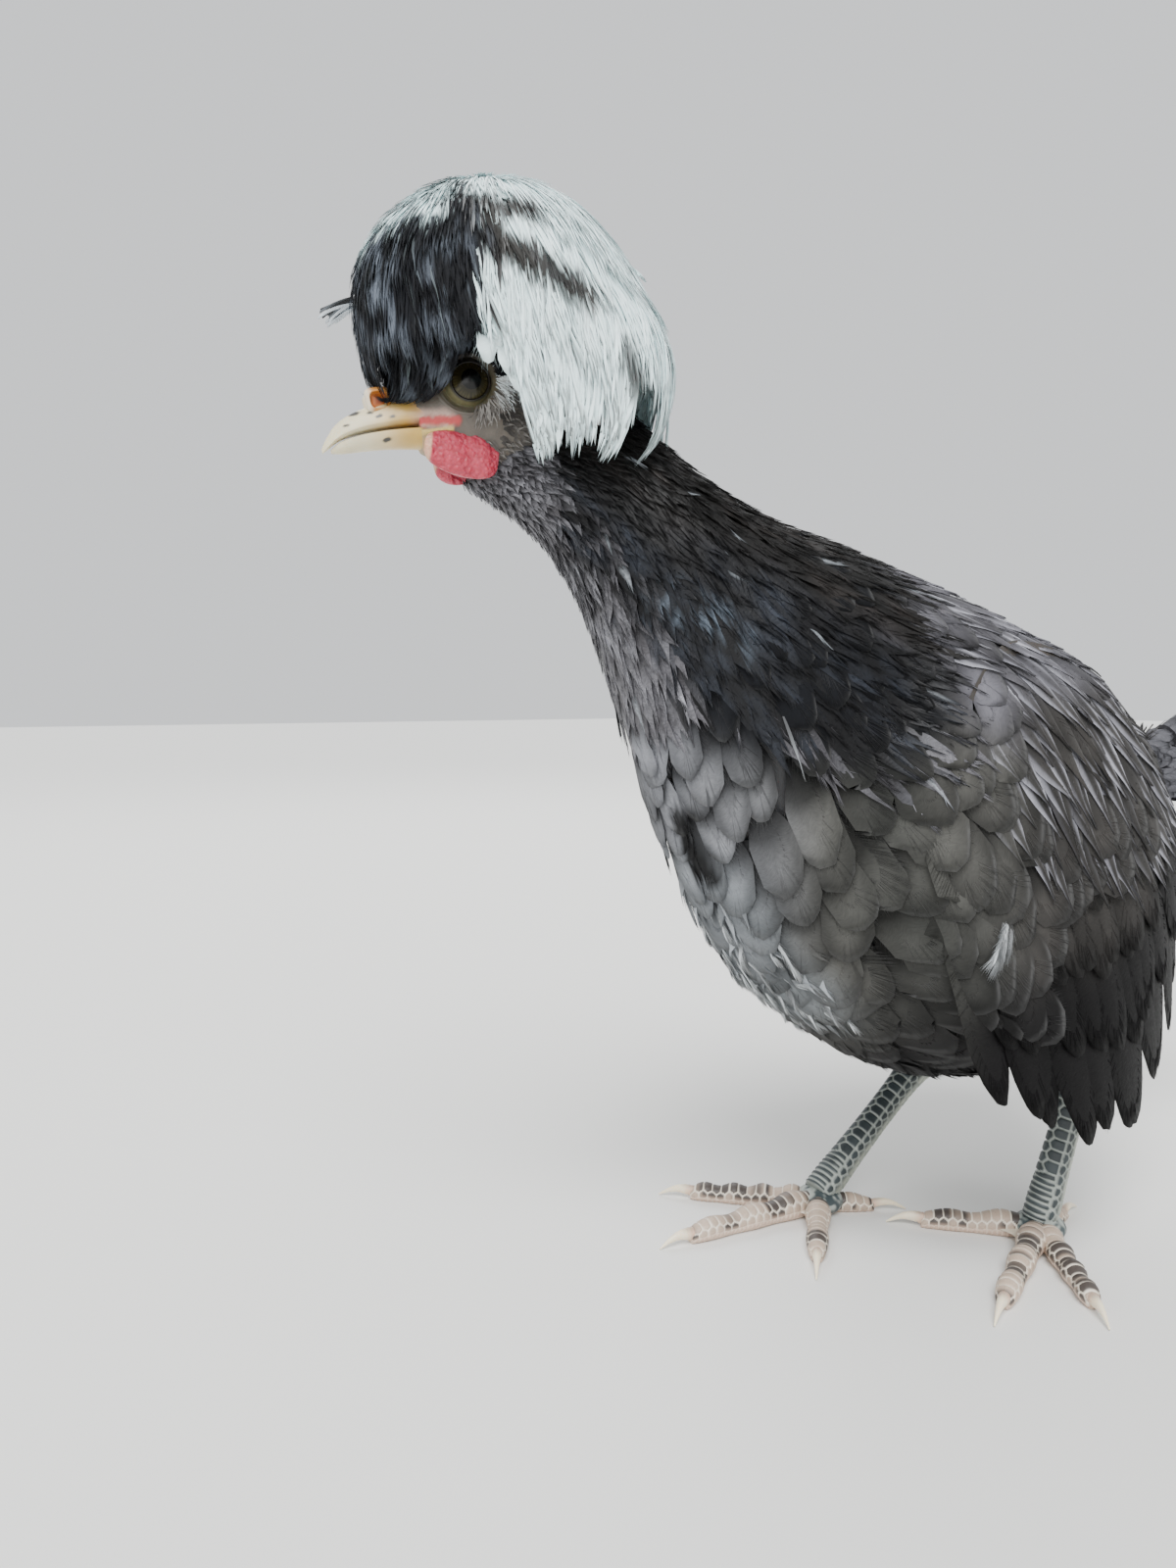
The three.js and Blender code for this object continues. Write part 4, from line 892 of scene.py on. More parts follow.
# Colours
SLATE = rgb("3c3c3f")
BROWN = rgb("47403a")
GREY = rgb("77736d")
DOWN = rgb("c3c0ba")
WHITE = rgb("e9ebea")


# Skin: one piece for trunk, neck, head and thighs, with the flesh of wings, crest and tail
FLESH = {"rump": 4.5, "head": 2.5, "thigh": 2.5, "crest": 14, "over_eyes": 9, "tail": 9}  # below the solids


def make_skin():
    shape = Shape()
    t = steps(0, 1, 120)
    turn = around(72)
    depth = -mix(FLESH["rump"], FLESH["head"], smooth(t, 0.6, 0.95))
    add_grid(shape, trunk_at(t, turn, depth), SLATE * 0.6, closed=True, caps=(0, 1))
    for side in (LEFT, RIGHT):
        share = steps(0, 1, 30)
        thigh = thigh_at(side, share, turn, -FLESH["thigh"])
        add_grid(shape, thigh, GREY * 0.6, closed=True, caps=(0, 1), flip=True)
        down = steps(-0.02, 0.4, 12)
        along = np.linspace(0.02, 0.98, 30)[None, :]
        outer = wing_at(side, down, along, mix(4.5, -2.4, smooth(down, 0, 0.4)) + 0 * along)
        add_grid(shape, outer, BROWN * 0.5, flip=side > 0)
    fall = steps(0.02, math.pi - 0.02, 40)
    over_eyes = smooth(fall, 1.45, 1.9) * smooth(np.cos(turn), -0.6, 0.0)
    inner = crest_at(fall, turn, -FLESH["crest"] - FLESH["over_eyes"] * over_eyes)
    below = blend(SLATE * 0.4, WHITE * 0.8, crest_white(crest_at(fall, turn, -1.0)))
    add_grid(shape, inner, below, closed=True, flip=True)
    root = steps(-0.1, 0.3, 16)
    girth = through([15, 13, 10, 6, 3], (root + 0.1) / 0.4)
    ring = in_tail(root * TAIL["long"], girth * np.cos(turn), girth * 0.9 * np.sin(turn) - FLESH["tail"])
    add_grid(shape, ring, SLATE * 0.4, closed=True, caps=(0, 1))
    add_head_skin(shape)
    piece("skin", shape, skin_finish, ("torso", "neck", "head", "thigh_left", "thigh_right"))


RED = rgb("b23a3a")
FACE_SKIN = rgb("575048")
LID_PALE = rgb("6f6a4c")


# Marks on the side of the face, each from one place ahead and up to another
STRIP = ((15.2, -6.9), (5.2, -9.0))
GAPE = ((16, -9.5), (7.0, -10.6))
LORE = ((15, -6.6), (8, -8.0))
JAW = ((15, -11.5), (10.5, -13.0))
MOUTH = ((15, -8.6), (9.0, -9.6))


def face_colour(ahead, out, up):
    """Markings of the bare face: olive round the eye, flesh behind the bill, red and yellow at its end"""
    p = xyz(ahead, out, up)
    colour = blend(FACE_SKIN * 0.75, FACE_SKIN * 1.2, noise(p, 2.2))
    near_eye = np.hypot(ahead, (up + 0.8) / 0.9)
    colour = blend(colour, "66624a", 0.8 * (1 - smooth(near_eye + 1.5 * noise(p, 3.0), 5, 10)))
    lore = segment_distance(ahead, up, *LORE)
    colour = blend(colour, "b79a8b", 0.9 * (1 - smooth(lore + 0.8 * noise(p, 1.3), 1.8, 3.8)))
    jaw = segment_distance(ahead, up, *JAW)
    colour = blend(colour, "a88f68", 1 - smooth(jaw, 1.2, 2.6))
    strip = segment_distance(ahead, up, *STRIP)
    colour = blend(colour, RED, 1 - smooth(strip + 0.8 * noise(p, 1.0), 0.9, 1.9))
    gape = segment_distance(ahead, up, *GAPE)
    return blend(colour, "c9b06a", 1 - smooth(gape + 0.3 * noise(p, 1.0), 0.5, 1.1))


def add_head_skin(shape):
    t = steps(0, 1, 130)
    turn = around(150)
    ahead, out, up = np.broadcast_arrays(*head_parts(t, turn, -0.4))
    p = xyz(ahead, out, up)
    strip = segment_distance(ahead, up, *STRIP)
    gape = segment_distance(ahead, up, *GAPE)
    socket = 1 - smooth(np.hypot(ahead, up), 4.0, 8.5)
    swell = 0.5 * (1 - smooth(strip, 0.6, 1.8)) + 0.6 * (1 - smooth(gape, 0.3, 1.2))
    swell = swell + 0.3 * (noise(p, 1.3) - 0.5)
    mouth = segment_distance(ahead, up, *MOUTH)
    swell = swell - 0.8 * (1 - smooth(mouth, 0.1, 0.5))
    out = out - np.sign(out) * 4.5 * socket * smooth(np.abs(out), 3, 8) + np.sign(out) * swell
    add_grid(shape, in_head(ahead, out, up), face_colour(ahead, out, up), closed=True, caps=(0, 1))
    for side in (LEFT, RIGHT):
        add_lids(shape, side)


def add_lids(shape, side):
    """Eyelids: a rim on the eyeball that rolls outward and runs down into the face"""
    angle = around(96)
    r = steps(0, 1, 22)
    opening = EYE["opening"] - 0.5 - 0.1 * np.cos(2 * angle)
    reach = opening + 4.2
    radius = mix(opening, reach, r**1.2)
    ahead, up = radius * np.cos(angle) * 1.03, radius * np.sin(angle) * 0.97
    up = up - 0.35 * (1 - r) * np.maximum(0, np.sin(angle))
    ball = EYE["out"] - EYE["sink"] + np.sqrt(np.maximum(EYE["radius"] ** 2 - ahead**2 - up**2, 1.0))
    face = head_half(ahead, up)
    rim = 0.3 * np.sin(np.pi * np.clip(r / 0.3, 0, 1)) + 0.2
    creases = 0.14 * np.sin(r * 30 + 0.8 * np.sin(angle * 3))
    creases = creases * smooth(r, 0.2, 0.4) * (1 - smooth(r, 0.8, 1))
    out = mix(ball + rim, face + 0.05, smooth(r, 0.25, 0.95)) + creases - 0.5 * smooth(r, 0.9, 1.0)
    out = np.where(r < 0.02, ball - 0.3, out)
    lower = smooth(-np.sin(angle) + 0.35 * np.cos(angle), -0.1, 0.6)
    rim_colour = blend("25221d", LID_PALE, lower * smooth(r, 0.12, 0.25))
    colour = blend(rim_colour, face_colour(ahead, side * out, up), smooth(r, 0.3, 0.75) + 0 * angle)
    colour = blend(colour, "1a1712", (1 - smooth(r, 0.02, 0.14)) + 0 * angle)
    add_grid(shape, in_head(ahead, side * out, up), colour, closed=True, flip=side < 0)


# Head parts
def make_eye(side):
    """Eyeball with a dark olive iris and a black pupil"""
    shape = Shape()
    polar = steps(0, math.pi, 90)
    turn = around(96)
    radius = EYE["radius"] + 0.25 * (1 - smooth(polar, 0.0, 0.85))
    out = EYE["out"] - EYE["sink"] + radius * np.cos(polar) + 0 * turn
    ahead, up = radius * np.sin(polar) * np.cos(turn), radius * np.sin(polar) * np.sin(turn)
    off = np.degrees(polar) + 0 * turn
    fibre = 0.5 + 0.5 * np.sin(turn * 38 + 3 * np.sin(turn * 7)) + 0 * polar
    iris = blend("15120c", "4a4428", 0.15 + 0.7 * fibre * smooth(off, 26, 44))
    colour = blend("050505", iris, smooth(off, 22.5, 24.5))
    colour = blend(colour, "1a140e", smooth(off, 43, 47))
    add_grid(shape, in_head(ahead, side * out, up), colour, closed=True, flip=side > 0)
    name = f"eye_{SIDE_NAMES[side]}"
    piece("eyeball_" + SIDE_NAMES[side], shape, eye_finish, (name,))


def bill_grid(stations, lower):
    """Smooth half of the bill, pressed flat along the mouth: ahead, out and up of its points"""
    t, turn = steps(0, 1, 110), around(96)
    row = through(stations, t)
    top, bottom = row[..., 1], row[..., 2]
    share = 1 - BILL_FLAT if lower else BILL_FLAT
    level = bottom + (top - bottom) * share
    s = np.sin(turn)
    up = level + s * np.where(s > 0, top - level, level - bottom)
    return row[..., 0] + 0 * turn, np.cos(turn) * row[..., 3], up, t, turn


# Dark specks on the bill's halves: ahead, up, half long, half high
SPECKS = {
    False: [
        (29.4, -1.6, 2.1, 0.75),
        (25.6, -2.4, 1.2, 0.6),
        (23.6, -3.8, 1.4, 0.6),
        (20.4, -4.6, 1.1, 0.55),
        (32, -4.4, 1.1, 0.45),
    ],
    True: [(22.6, -9.6, 1.6, 0.6)],
}


def bill_colour(ahead, out, up, lower):
    p = xyz(ahead, out, up)
    colour = blend("c09c52", "cfc6a8", smooth(ahead, 15, 30))
    flesh = (1 - smooth(ahead + 0.5 * (up + 6) + 2 * (noise(p, 2.0) - 0.5), 12, 18)) * (0 if lower else 1)
    colour = blend(colour, "b9958a", 0.9 * flesh)
    colour = blend(colour, "c2a450", 0.7 * (1 - smooth(ahead, 13, 21)) * (1 if lower else 0))
    colour = colour * (0.92 + 0.16 * noise(p, 2.5))[..., None]
    spots = 0
    for x, z, long, high in SPECKS[lower]:
        off = np.hypot((ahead - x) / long, (up - z) / high)
        spots = np.maximum(spots, 1 - smooth(off + 0.5 * noise(p, 0.8), 0.8, 1.3))
    return blend(colour, "3a3833", spots)


def make_bills():
    for name, stations, lower in (("upper", BILL_UPPER, False), ("lower", BILL_LOWER, True)):
        shape = Shape()
        ahead, out, up, t, turn = bill_grid(stations, lower)
        if not lower:
            rim = np.exp(-((np.sin(turn) / 0.25) ** 2)) * 0.25 * (1 - smooth(t, 0.7, 1))
            out = out + np.sign(out) * rim
        colour = bill_colour(ahead, out, up, lower)
        add_grid(shape, in_head(ahead, out, up), colour, closed=True, caps=(0, 1))
        if not lower:
            for side in (LEFT, RIGHT):
                add_nostril(shape, side)
        piece(name + "_bill", shape, horn_finish, ("bill_" + name,))


def add_nostril(shape, side):
    """Raised squarish nostril with a hollow that opens outward and forward"""
    polar = steps(0.0, math.pi, 60)
    turn = around(72)
    power = 0.45
    lat = np.cos(polar) + 0 * turn
    ring = np.sin(polar)
    ahead = NOSTRIL["long"] * ring * spow(np.cos(turn), power)
    up = NOSTRIL["high"] * ring * spow(np.sin(turn), power)
    off = ((np.abs(ahead + 0.2) / 2.5) ** 3 + (np.abs(up + 0.2) / 2.3) ** 3) ** (1 / 3)
    hollow = (1 - smooth(off, 0.72, 1.0)) * (lat > 0)
    out = NOSTRIL["wide"] * lat - 1.9 * hollow
    colour = blend("b9803f", "d6cbb4", smooth(ahead / NOSTRIL["long"], 0.3, 0.85))
    colour = blend(colour, "b0601c", hollow)
    # darker still in the middle of the hollow: painted shade deep inside it; the orange lining is its own
    # colour
    colour = blend(colour, "7d3a12", hollow * (1 - smooth(off, 0.2, 0.6)))
    points = in_head(NOSTRIL["ahead"] + ahead, side * (NOSTRIL["out"] + out), NOSTRIL["up"] + up)
    add_grid(shape, points, colour, closed=True, flip=side > 0)


def make_wattle(side):
    shape = Shape()
    size = WATTLE[side]
    t = steps(0.01, 0.99, 110)
    turn = around(110)
    lean = math.radians(size["tilt"])
    square = np.sin(np.pi * t) ** 0.62
    above = smooth(np.sin(turn), 0.0, 0.5)
    along = size["long"] * np.cos(np.pi * t)
    hang = size["deep"] * mix(square, np.sin(np.pi * t) ** 0.45, above) * np.sin(turn) * mix(1, 0.86, above)
    hang = hang + 0.1 * along * smooth(-np.sin(turn), 0.2, 0.9)
    wide = size["thick"] * square * spow(np.cos(turn), 0.8)
    ahead = size["ahead"] + along * math.cos(lean) - hang * math.sin(lean)
    up = size["up"] + along * math.sin(lean) + hang * math.cos(lean)
    ahead, up, wide = np.broadcast_arrays(ahead, up, wide)
    p = xyz(ahead, wide, up)
    pebbles = 0.5 * (noise(p, 1.1) - 0.5) + 0.35 * (noise(p, 0.55) - 0.5)
    fold = 0.35 * np.sin(ahead * 0.9 + 2 * noise(p, 4))
    out = size["out"] + wide * 0.9 + np.sign(wide) * (pebbles + fold) * smooth(np.abs(wide), 0, 1.2)
    front = smooth(ahead + 0.35 * (up + 17), size["long"] + 4.0, size["long"] + 4.8)
    colour = blend("a2263a", "bd4357", noise(p, 1.0))
    colour = blend(colour, "d3a488", front)
    add_grid(shape, in_head(ahead, side * out, up), colour, closed=True, caps=(0, 1), flip=side < 0)
    piece("wattle_skin_" + SIDE_NAMES[side], shape, wattle_finish,
          (f"wattle_{SIDE_NAMES[side]}",))


# Legs
def plates(x, y, cells, groove=0.45):
    """Rise, 0 to 1, and number of the nearest of weighted cells (x, y, half wide, half high) at points"""
    flat_x, flat_y = x.ravel(), y.ravel()
    cells = np.asarray(cells)
    near = np.full(flat_x.shape, 1e9)
    following = np.full(flat_x.shape, 1e9)
    index = np.zeros(flat_x.shape, int)
    for k, (cx, cy, wide, tall) in enumerate(cells):
        d = np.hypot((flat_x - cx) / wide, (flat_y - cy) / tall)
        closer = d < near
        following = np.where(closer, near, np.minimum(following, d))
        near = np.where(closer, d, near)
        index = np.where(closer, k, index)
    size = np.minimum(cells[index, 2], cells[index, 3])
    border = (following - near) * size * 0.5
    return smooth(border, 0.06, groove).reshape(x.shape), index.reshape(x.shape)


def shank_path(side):
    hock, pad = np.array(LEG[side]["hock"], float), np.array(LEG[side]["pad"], float)
    end = np.array([pad[0], pad[1], PAD["high"] * 0.7])
    line = unit(end - hock)
    start = hock - line * 3
    return np.array([start + (end - start) * k / 9 for k in range(10)])


SCUTE_DARK = rgb("2c3436")
SCUTE_PALE = rgb("949a94")
BEIGE = rgb("ad9a89")
TOE_DARK = rgb("423b37")


def make_leg(side):
    shape = Shape()
    rng = np.random.default_rng(40 + side)
    path = shank_path(side)
    long = np.linalg.norm(path[-1] - path[0])
    share, turn = tube_grid(210, 100)
    girth = 5.6
    arc = ((np.degrees(turn) - 270 + 180) % 360 - 180) / 180 * math.pi * girth
    down = share * long
    cells = []
    pitch = 3.7
    count = int(long / pitch) + 2
    for k in range(count):
        merged = smooth(np.array(k / count), 0.55, 0.8)
        y = 2 + pitch * k
        off = mix(2.9, 1.6, merged)
        if merged > 0.7:
            for step in (0, 0.5):
                cells.append((0, y + pitch * step, 6.0, 1.3))
        else:
            cells.append((-off, y, 3.2, 1.9))
            cells.append((off, y + pitch / 2, 3.2, 1.9))
        for side_step in range(2):
            for sign in (-1, 1):
                reach = 6.9 + 2.2 * side_step
                y_side = y + pitch * (0.33 * side_step + (0 if sign < 0 else 0.5))
                cells.append((sign * reach, y_side, 1.5, 1.6))
    for x in np.arange(-girth * math.pi, girth * math.pi, 2.3):
        if abs(x) > 11:
            for k, y in enumerate(np.arange(0, long + 3, 2.4)):
                cells.append((x + rng.uniform(-0.3, 0.3) + 1.1 * (k % 2), y, 1.2, 1.2))
    rise, index = plates(arc, down, cells)
    front = 1 - smooth(np.abs(arc), 7.5, 11)
    lift = rise * mix(0.28, 0.62, front) - 0.12
    cell_noise = hashed(index * 7 + 3, index, index * 0)
    grid = tube_at(path, np.array(SHANK_WIDTHS), np.array(SHANK_WIDTHS) * 1.12, share, turn, lift)
    plate = blend(SCUTE_DARK * 0.75, SCUTE_DARK * 1.35, cell_noise)
    back = blend("959b90", "bcbeae", cell_noise)
    plate = blend(back, plate, front)
    colour = blend(SCUTE_PALE * (0.8 + 0.2 * front[..., None]), plate, smooth(rise, 0.45, 0.85))
    add_grid(shape, grid, colour, closed=True, caps=(0, 1), flip=True)
    add_foot(shape, side)
    for toe in TOES[side]:
        add_toe(shape, side, toe, rng)
    for inner in (2, 3):
        add_web(shape, side, inner, inner + 1)
    name = SIDE_NAMES[side]
    piece("leg_" + name, shape, scale_finish,
          (f"shank_{name}", *[f"toe_{name}_{digit}" for digit, *_ in TOES[side]]))


def add_foot(shape, side):
    """Joint from which the toes leave"""
    pad = LEG[side]["pad"]
    polar = steps(0.03, math.pi - 0.03, 60)
    turn = around(90)
    x = pad[0] + PAD["radius"] * np.sin(polar) * np.cos(turn)
    y = pad[1] + PAD["radius"] * np.sin(polar) * np.sin(turn)
    z = PAD["high"] * 0.46 + PAD["high"] * 0.5 * np.cos(polar) + 0 * turn
    p = xyz(x, y, z)
    pebble = noise(p, 1.5)
    z = np.maximum(z + 0.5 * (pebble - 0.5), 0.02)
    colour = blend(SCUTE_DARK * 1.6, SCUTE_PALE, smooth(pebble, 0.3, 0.7))
    add_grid(shape, xyz(x, y, z), colour, closed=True, caps=(0, 1), flip=True)


def heading(side, turn):
    turn = math.radians(turn)
    return np.array([-math.cos(turn), side * math.sin(turn), 0])


def add_toe(shape, side, toe, rng):
    digit, turn_out, long, thick, joints = toe
    ahead = heading(side, turn_out)
    pad = np.array(LEG[side]["pad"], float)
    share, turn = tube_grid(130, 64)
    knuckle = 1 - 0.1 * np.cos(FULL * joints * share)
    radius = mix(thick, thick * TOE_TAPER, share) * knuckle
    radius = radius * np.sqrt(np.clip(1 - ((share - 0.93) / 0.085).clip(0, 1) ** 2 * 0.75, 0.05, 1))
    arc = ((np.degrees(turn) - 270 + 180) % 360 - 180) / 180 * math.pi * thick * 0.84
    down = share * long
    cells = []
    pitch = 3.1
    for y in np.arange(0.5, long + 2, pitch):
        cells.append((0, y, 3.6, 1.5))
        for sign in (-1, 1):
            cells.append((sign * 5.0, y + pitch / 2, 1.3, 1.5))
            cells.append((sign * 7.4, y + pitch * 0.2, 1.2, 1.2))
            cells.append((sign * 7.4, y + pitch * 0.7, 1.2, 1.2))
    for x in np.arange(-thick * 2.6, thick * 2.6, 1.5):
        if abs(x) > 8.4:
            cells += [(x, y + rng.uniform(-0.3, 0.3), 0.9, 0.9) for y in np.arange(0, long + 1, 1.6)]
    rise, index = plates(arc, down, cells, 0.35)
    top = 1 - smooth(np.abs(arc), 4.5, 7)
    lift = rise * mix(0.22, 0.42, top) - 0.1
    wide = radius + lift
    across = np.cross(ahead, UP)
    along = PAD["radius"] * 0.5 + down
    height = -np.sin(turn)
    z = radius * 0.92 + height * wide
    z = np.maximum(z, 0.02 + 0.15 * (1 - rise))
    grid = pad + along[..., None] * ahead + (wide * np.cos(turn))[..., None] * across + z[..., None] * UP
    cell_noise = hashed(index * 5 + digit, index * 3, index * 0 + 7)
    bands = noise(xyz(down, down * 0 + digit * 9 + side, 0 * down), 5.5)
    dark = smooth(bands + 0.5 * (cell_noise - 0.5) + 0.25 * (1 - down / long), 0.46, 0.62) * top
    plate = blend(BEIGE * (0.9 + 0.2 * cell_noise[..., None]), TOE_DARK, dark)
    colour = blend("d8cfbf", plate, smooth(rise, 0.2, 0.7))
    colour = blend(colour, "d9b9a6", 0.5 * (1 - top))
    add_grid(shape, grid, colour, closed=True, caps=(0, 1), flip=True)


def add_web(shape, side, inner, outer):
    """Skin between the roots of two toes, drawn in between them"""
    ways = {digit: turn_out for digit, turn_out, *_ in TOES[side]}
    share = steps(0, 1, 30)
    turn = around(32)
    way = np.radians(mix(ways[inner], ways[outer], share))
    reach = 19 - 7 * np.sin(np.pi * share)
    off = reach * (0.5 + 0.5 * np.cos(turn))
    pad = LEG[side]["pad"]
    z = 3.4 + 1.0 * np.sin(turn) * (1 - 0.4 * off / 19) + 0 * share
    p = xyz(pad[0] - off * np.cos(way), pad[1] + side * off * np.sin(way), z)
    colour = blend("b9ac93", "d4cdc0", noise(p, 3.0))
    add_grid(shape, p, colour, closed=True, caps=(0, 1), flip=side > 0)


def make_claws(side):
    shape = Shape()
    for _, turn_out, long, thick, _ in TOES[side]:
        ahead = heading(side, turn_out)
        pad = np.array(LEG[side]["pad"], float)
        root = PAD["radius"] * 0.5 + long + 0.2
        size = CLAW["thick"] * (thick / 4.4)
        t, turn = tube_grid(60, 40)
        radius = mix(size, 0.3, t**1.1) * (1 + 0.02 * np.sin(t * 60))
        z = mix(thick * TOE_TAPER, 0.6, t) + 1.6 * np.sin(np.pi * t)
        across = np.cross(ahead, UP)
        height = z + radius * np.sin(turn)
        grid = pad + (root + t * CLAW["long"] - 1.2)[..., None] * ahead
        grid = grid + (radius * 0.8 * np.cos(turn))[..., None] * across + height[..., None] * UP
        colour = blend("c9a793", "e8dcc2", smooth(t, 0.0, 0.35))
        colour = blend(colour, "8f8577", 0.5 * smooth(np.sin(turn), 0.3, 1) * (1 - smooth(t, 0.1, 0.5)))
        add_grid(shape, grid, colour, closed=True, caps=(0, 1))
    name = SIDE_NAMES[side]
    piece("claws_" + name, shape, horn_finish,
          tuple(f"claw_{name}_{digit}" for digit, *_ in TOES[side]))


# Plumage of each part
# Lower edge of the dark hackle on the side, and upper edge of the dark wing tips, as x and z
HACKLE_EDGE = np.array([
    [-175, 275],
    [-150, 250],
    [-147, 240],
    [-143, 233],
    [-141, 226],
    [-135, 218],
    [-130, 212],
    [-122, 200],
    [-114, 183],
    [-107, 173],
    [-98, 166],
    [-84, 164],
    [-72, 161],
    [-66, 162],
    [-59, 170],
    [-51, 182],
    [-47, 195],
    [-44, 220],
], float)
WING_DARK = np.array([[-40, 96], [10, 104], [55, 126], [100, 150]], float)


def body_tone(p):
    """Base colour of the coat at places on the body, with painted shade low on the flank"""
    x, z = p[..., 0], p[..., 2]
    patchy = noise(p, 24.0)
    # flank darker towards the bottom: painted shade of the underside
    flank = blend("2b2c2a", "4d4c49", patchy) * mix(0.7, 0.95, smooth(z, 85, 135))[..., None]
    breast = blend("5a5b5f", "8a8c93", noise(p, 15.0))
    made = blend(flank, breast, 0.9 * (1 - smooth(x + 0.2 * (z - 150), -120, -80)))
    saddle = blend("2a292b", "6c6b72", noise(p, 13.0))
    made = blend(made, saddle, smooth(z + 0.25 * x, 150, 170) * smooth(x, -62, -42))
    wing = smooth(x, -45, -15) * (1 - smooth(z, 175, 195))
    made = blend(made, blend("1c1b1a", "353331", noise(p, 10.0)), wing)
    hackle = smooth(z - np.interp(x, *HACKLE_EDGE.T) + 14 * (patchy - 0.5), -14, 4)
    made = blend(made, "0f1013", hackle * (1 - smooth(x, -56, -42)))
    dark = 1 - smooth(z - np.interp(x, *WING_DARK.T) + 10 * (noise(p, 12.0) - 0.5), -12, 14)
    made = blend(made, "0b0a0b", dark * smooth(x, -60, -30))
    under = 1 - smooth(z - np.interp(x, [-97, -79, -50], [127, 99, 75]), 2, 14)
    made = blend(made, "6f7478", 0.5 * under * (1 - smooth(x, -75, -45)))
    stripe = 1 - smooth(segment_distance(x, z, (-108, 148), (-98, 128)), 0.8, 2.6)
    return blend(made, "0c0c0d", stripe * (p[..., 1] < 0))


def contour(edge=0.25, deep=0.3, streak=0.0, tone=1.0, base=None):
    """Colour of body feathers: a dark root, partly the feather's own darker base and partly painted shadow
    of the feather over it, a lighter middle that is partly painted sheen, a rim darkened by painted shade,
    a soft pale tip edge and rare pale streaks
    """

    def colour(f):
        u, v, p, rnd = f["u"], f["v"], f["p"], f["rnd"]
        ground = (body_tone(p) if base is None else base) * tone
        # darker towards the root: partly the feather's own darker base, partly painted shadow of the
        # feather that overlaps it; the lighter middle is partly painted sheen
        shade = mix(deep, 1.4, smooth(v, 0.3, 0.72)) * mix(0.74, 1.26, rnd)
        # darker round the rim: painted shade where the feather curves down onto the next one
        rim = np.hypot(0.92 * u, np.maximum(v - 0.45, 0) / 0.55)
        shade = shade * (1 - mix(0.2, 0.55, again(rnd, 11.3)) * smooth(rim, 0.4, 1.0))
        made = ground * shade[..., None]
        rim = smooth(v, 0.88, 1.0) * (1 - 0.4 * np.abs(u)) * mix(0.2, 1.0, again(rnd, 5.7))
        made = blend(made, ground * 1.6 + 0.003, edge * rim)
        made = made * (0.8 + 0.4 * noise(p, 5.0))[..., None]
        if streak:
            pale = (again(rnd, 7.3) < streak) * smooth(v, 0.3, 0.8) * (1 - smooth(np.abs(u), 0.0, 0.5))
            made = blend(made, DOWN, 0.5 * pale)
        return made

    return colour


def root_near(bed, x, z, side, a_span=(0.1, 1.0)):
    """Root on a side of the body whose place in the side view is nearest to x and z"""
    a, b = np.meshgrid(np.linspace(*a_span, 160), np.linspace(0, FULL, 240), indexing="ij")
    p = bed.at(a, b)
    off = np.hypot(p[..., 0] - x, p[..., 2] - z) + 1e3 * (p[..., 1] * side < 0)
    spot = np.unravel_index(off.argmin(), off.shape)
    return a[spot], b[spot]


# Wisps along the lower breast: x and z, feathers, length
WISPS = [(-86, 112, 7, 12), (-82, 105, 12, 15), (-77, 98, 16, 17), (-71, 91, 16, 17), (-64, 84, 12, 15)]


def make_down():
    """Loose pale feathers along the lower breast and one between the flank feathers"""
    rng = np.random.default_rng(4)
    shape = Shape()

    def downy(f):
        pale = blend("55575a", "b4b9bc", smooth(f["v"], 0.15, 0.7))
        grey = blend("434446", "7d8184", smooth(f["v"], 0.3, 1.0))
        return blend(pale, grey, smooth(again(f["rnd"], 7.7), 0.45, 0.8))

    for x, z, count, long in WISPS:
        a, b = root_near(side_bed, x, z, LEFT)
        roots = np.stack([a + rng.normal(0, 0.014, count), BELLY + rng.uniform(-0.45, 0.45, count)], -1)
        feathers(shape, side_bed, roots, rng, length=long * rng.uniform(0.6, 1.15, count), half=0.6,
                 colour=downy, low=-1.5, high=2.4, camber=0.3, rows=8, wave=0.8, spread=0.3, lift=1.2,
                 fringe=64, barb=(4.5, 2.6, 0.08), **SLIM)
    for side in (LEFT, RIGHT):
        a, b = root_near(side_bed, -35, 122, side)
        roots = np.stack([a + rng.normal(0, 0.003, 8), b + rng.normal(0, 0.012, 8)], -1)
        feathers(shape, side_bed, roots, rng, length=rng.uniform(11, 19, 8), half=0.3, colour=downy,
                 low=-1.0, high=2.0, tilt=-side * 1.4, bend=-side * 0.4, camber=0.2, rows=10, wave=0.5,
                 spread=0.2, lift=0.5, fringe=90, barb=(4.5, 3.6, 0.06), **SLIM)
    a, b = root_near(side_bed, -94, 178, LEFT)
    feathers(shape, side_bed, np.array([[a, b]]), rng, length=17, half=0.55, colour=downy, low=-1.0,
             high=2.2, tilt=0.45, camber=0.2, rows=10, spread=0.0, fringe=30, barb=(3, 0.6, 0.08), **SLIM)
    piece("down_coat", shape, white_finish, baked=True)


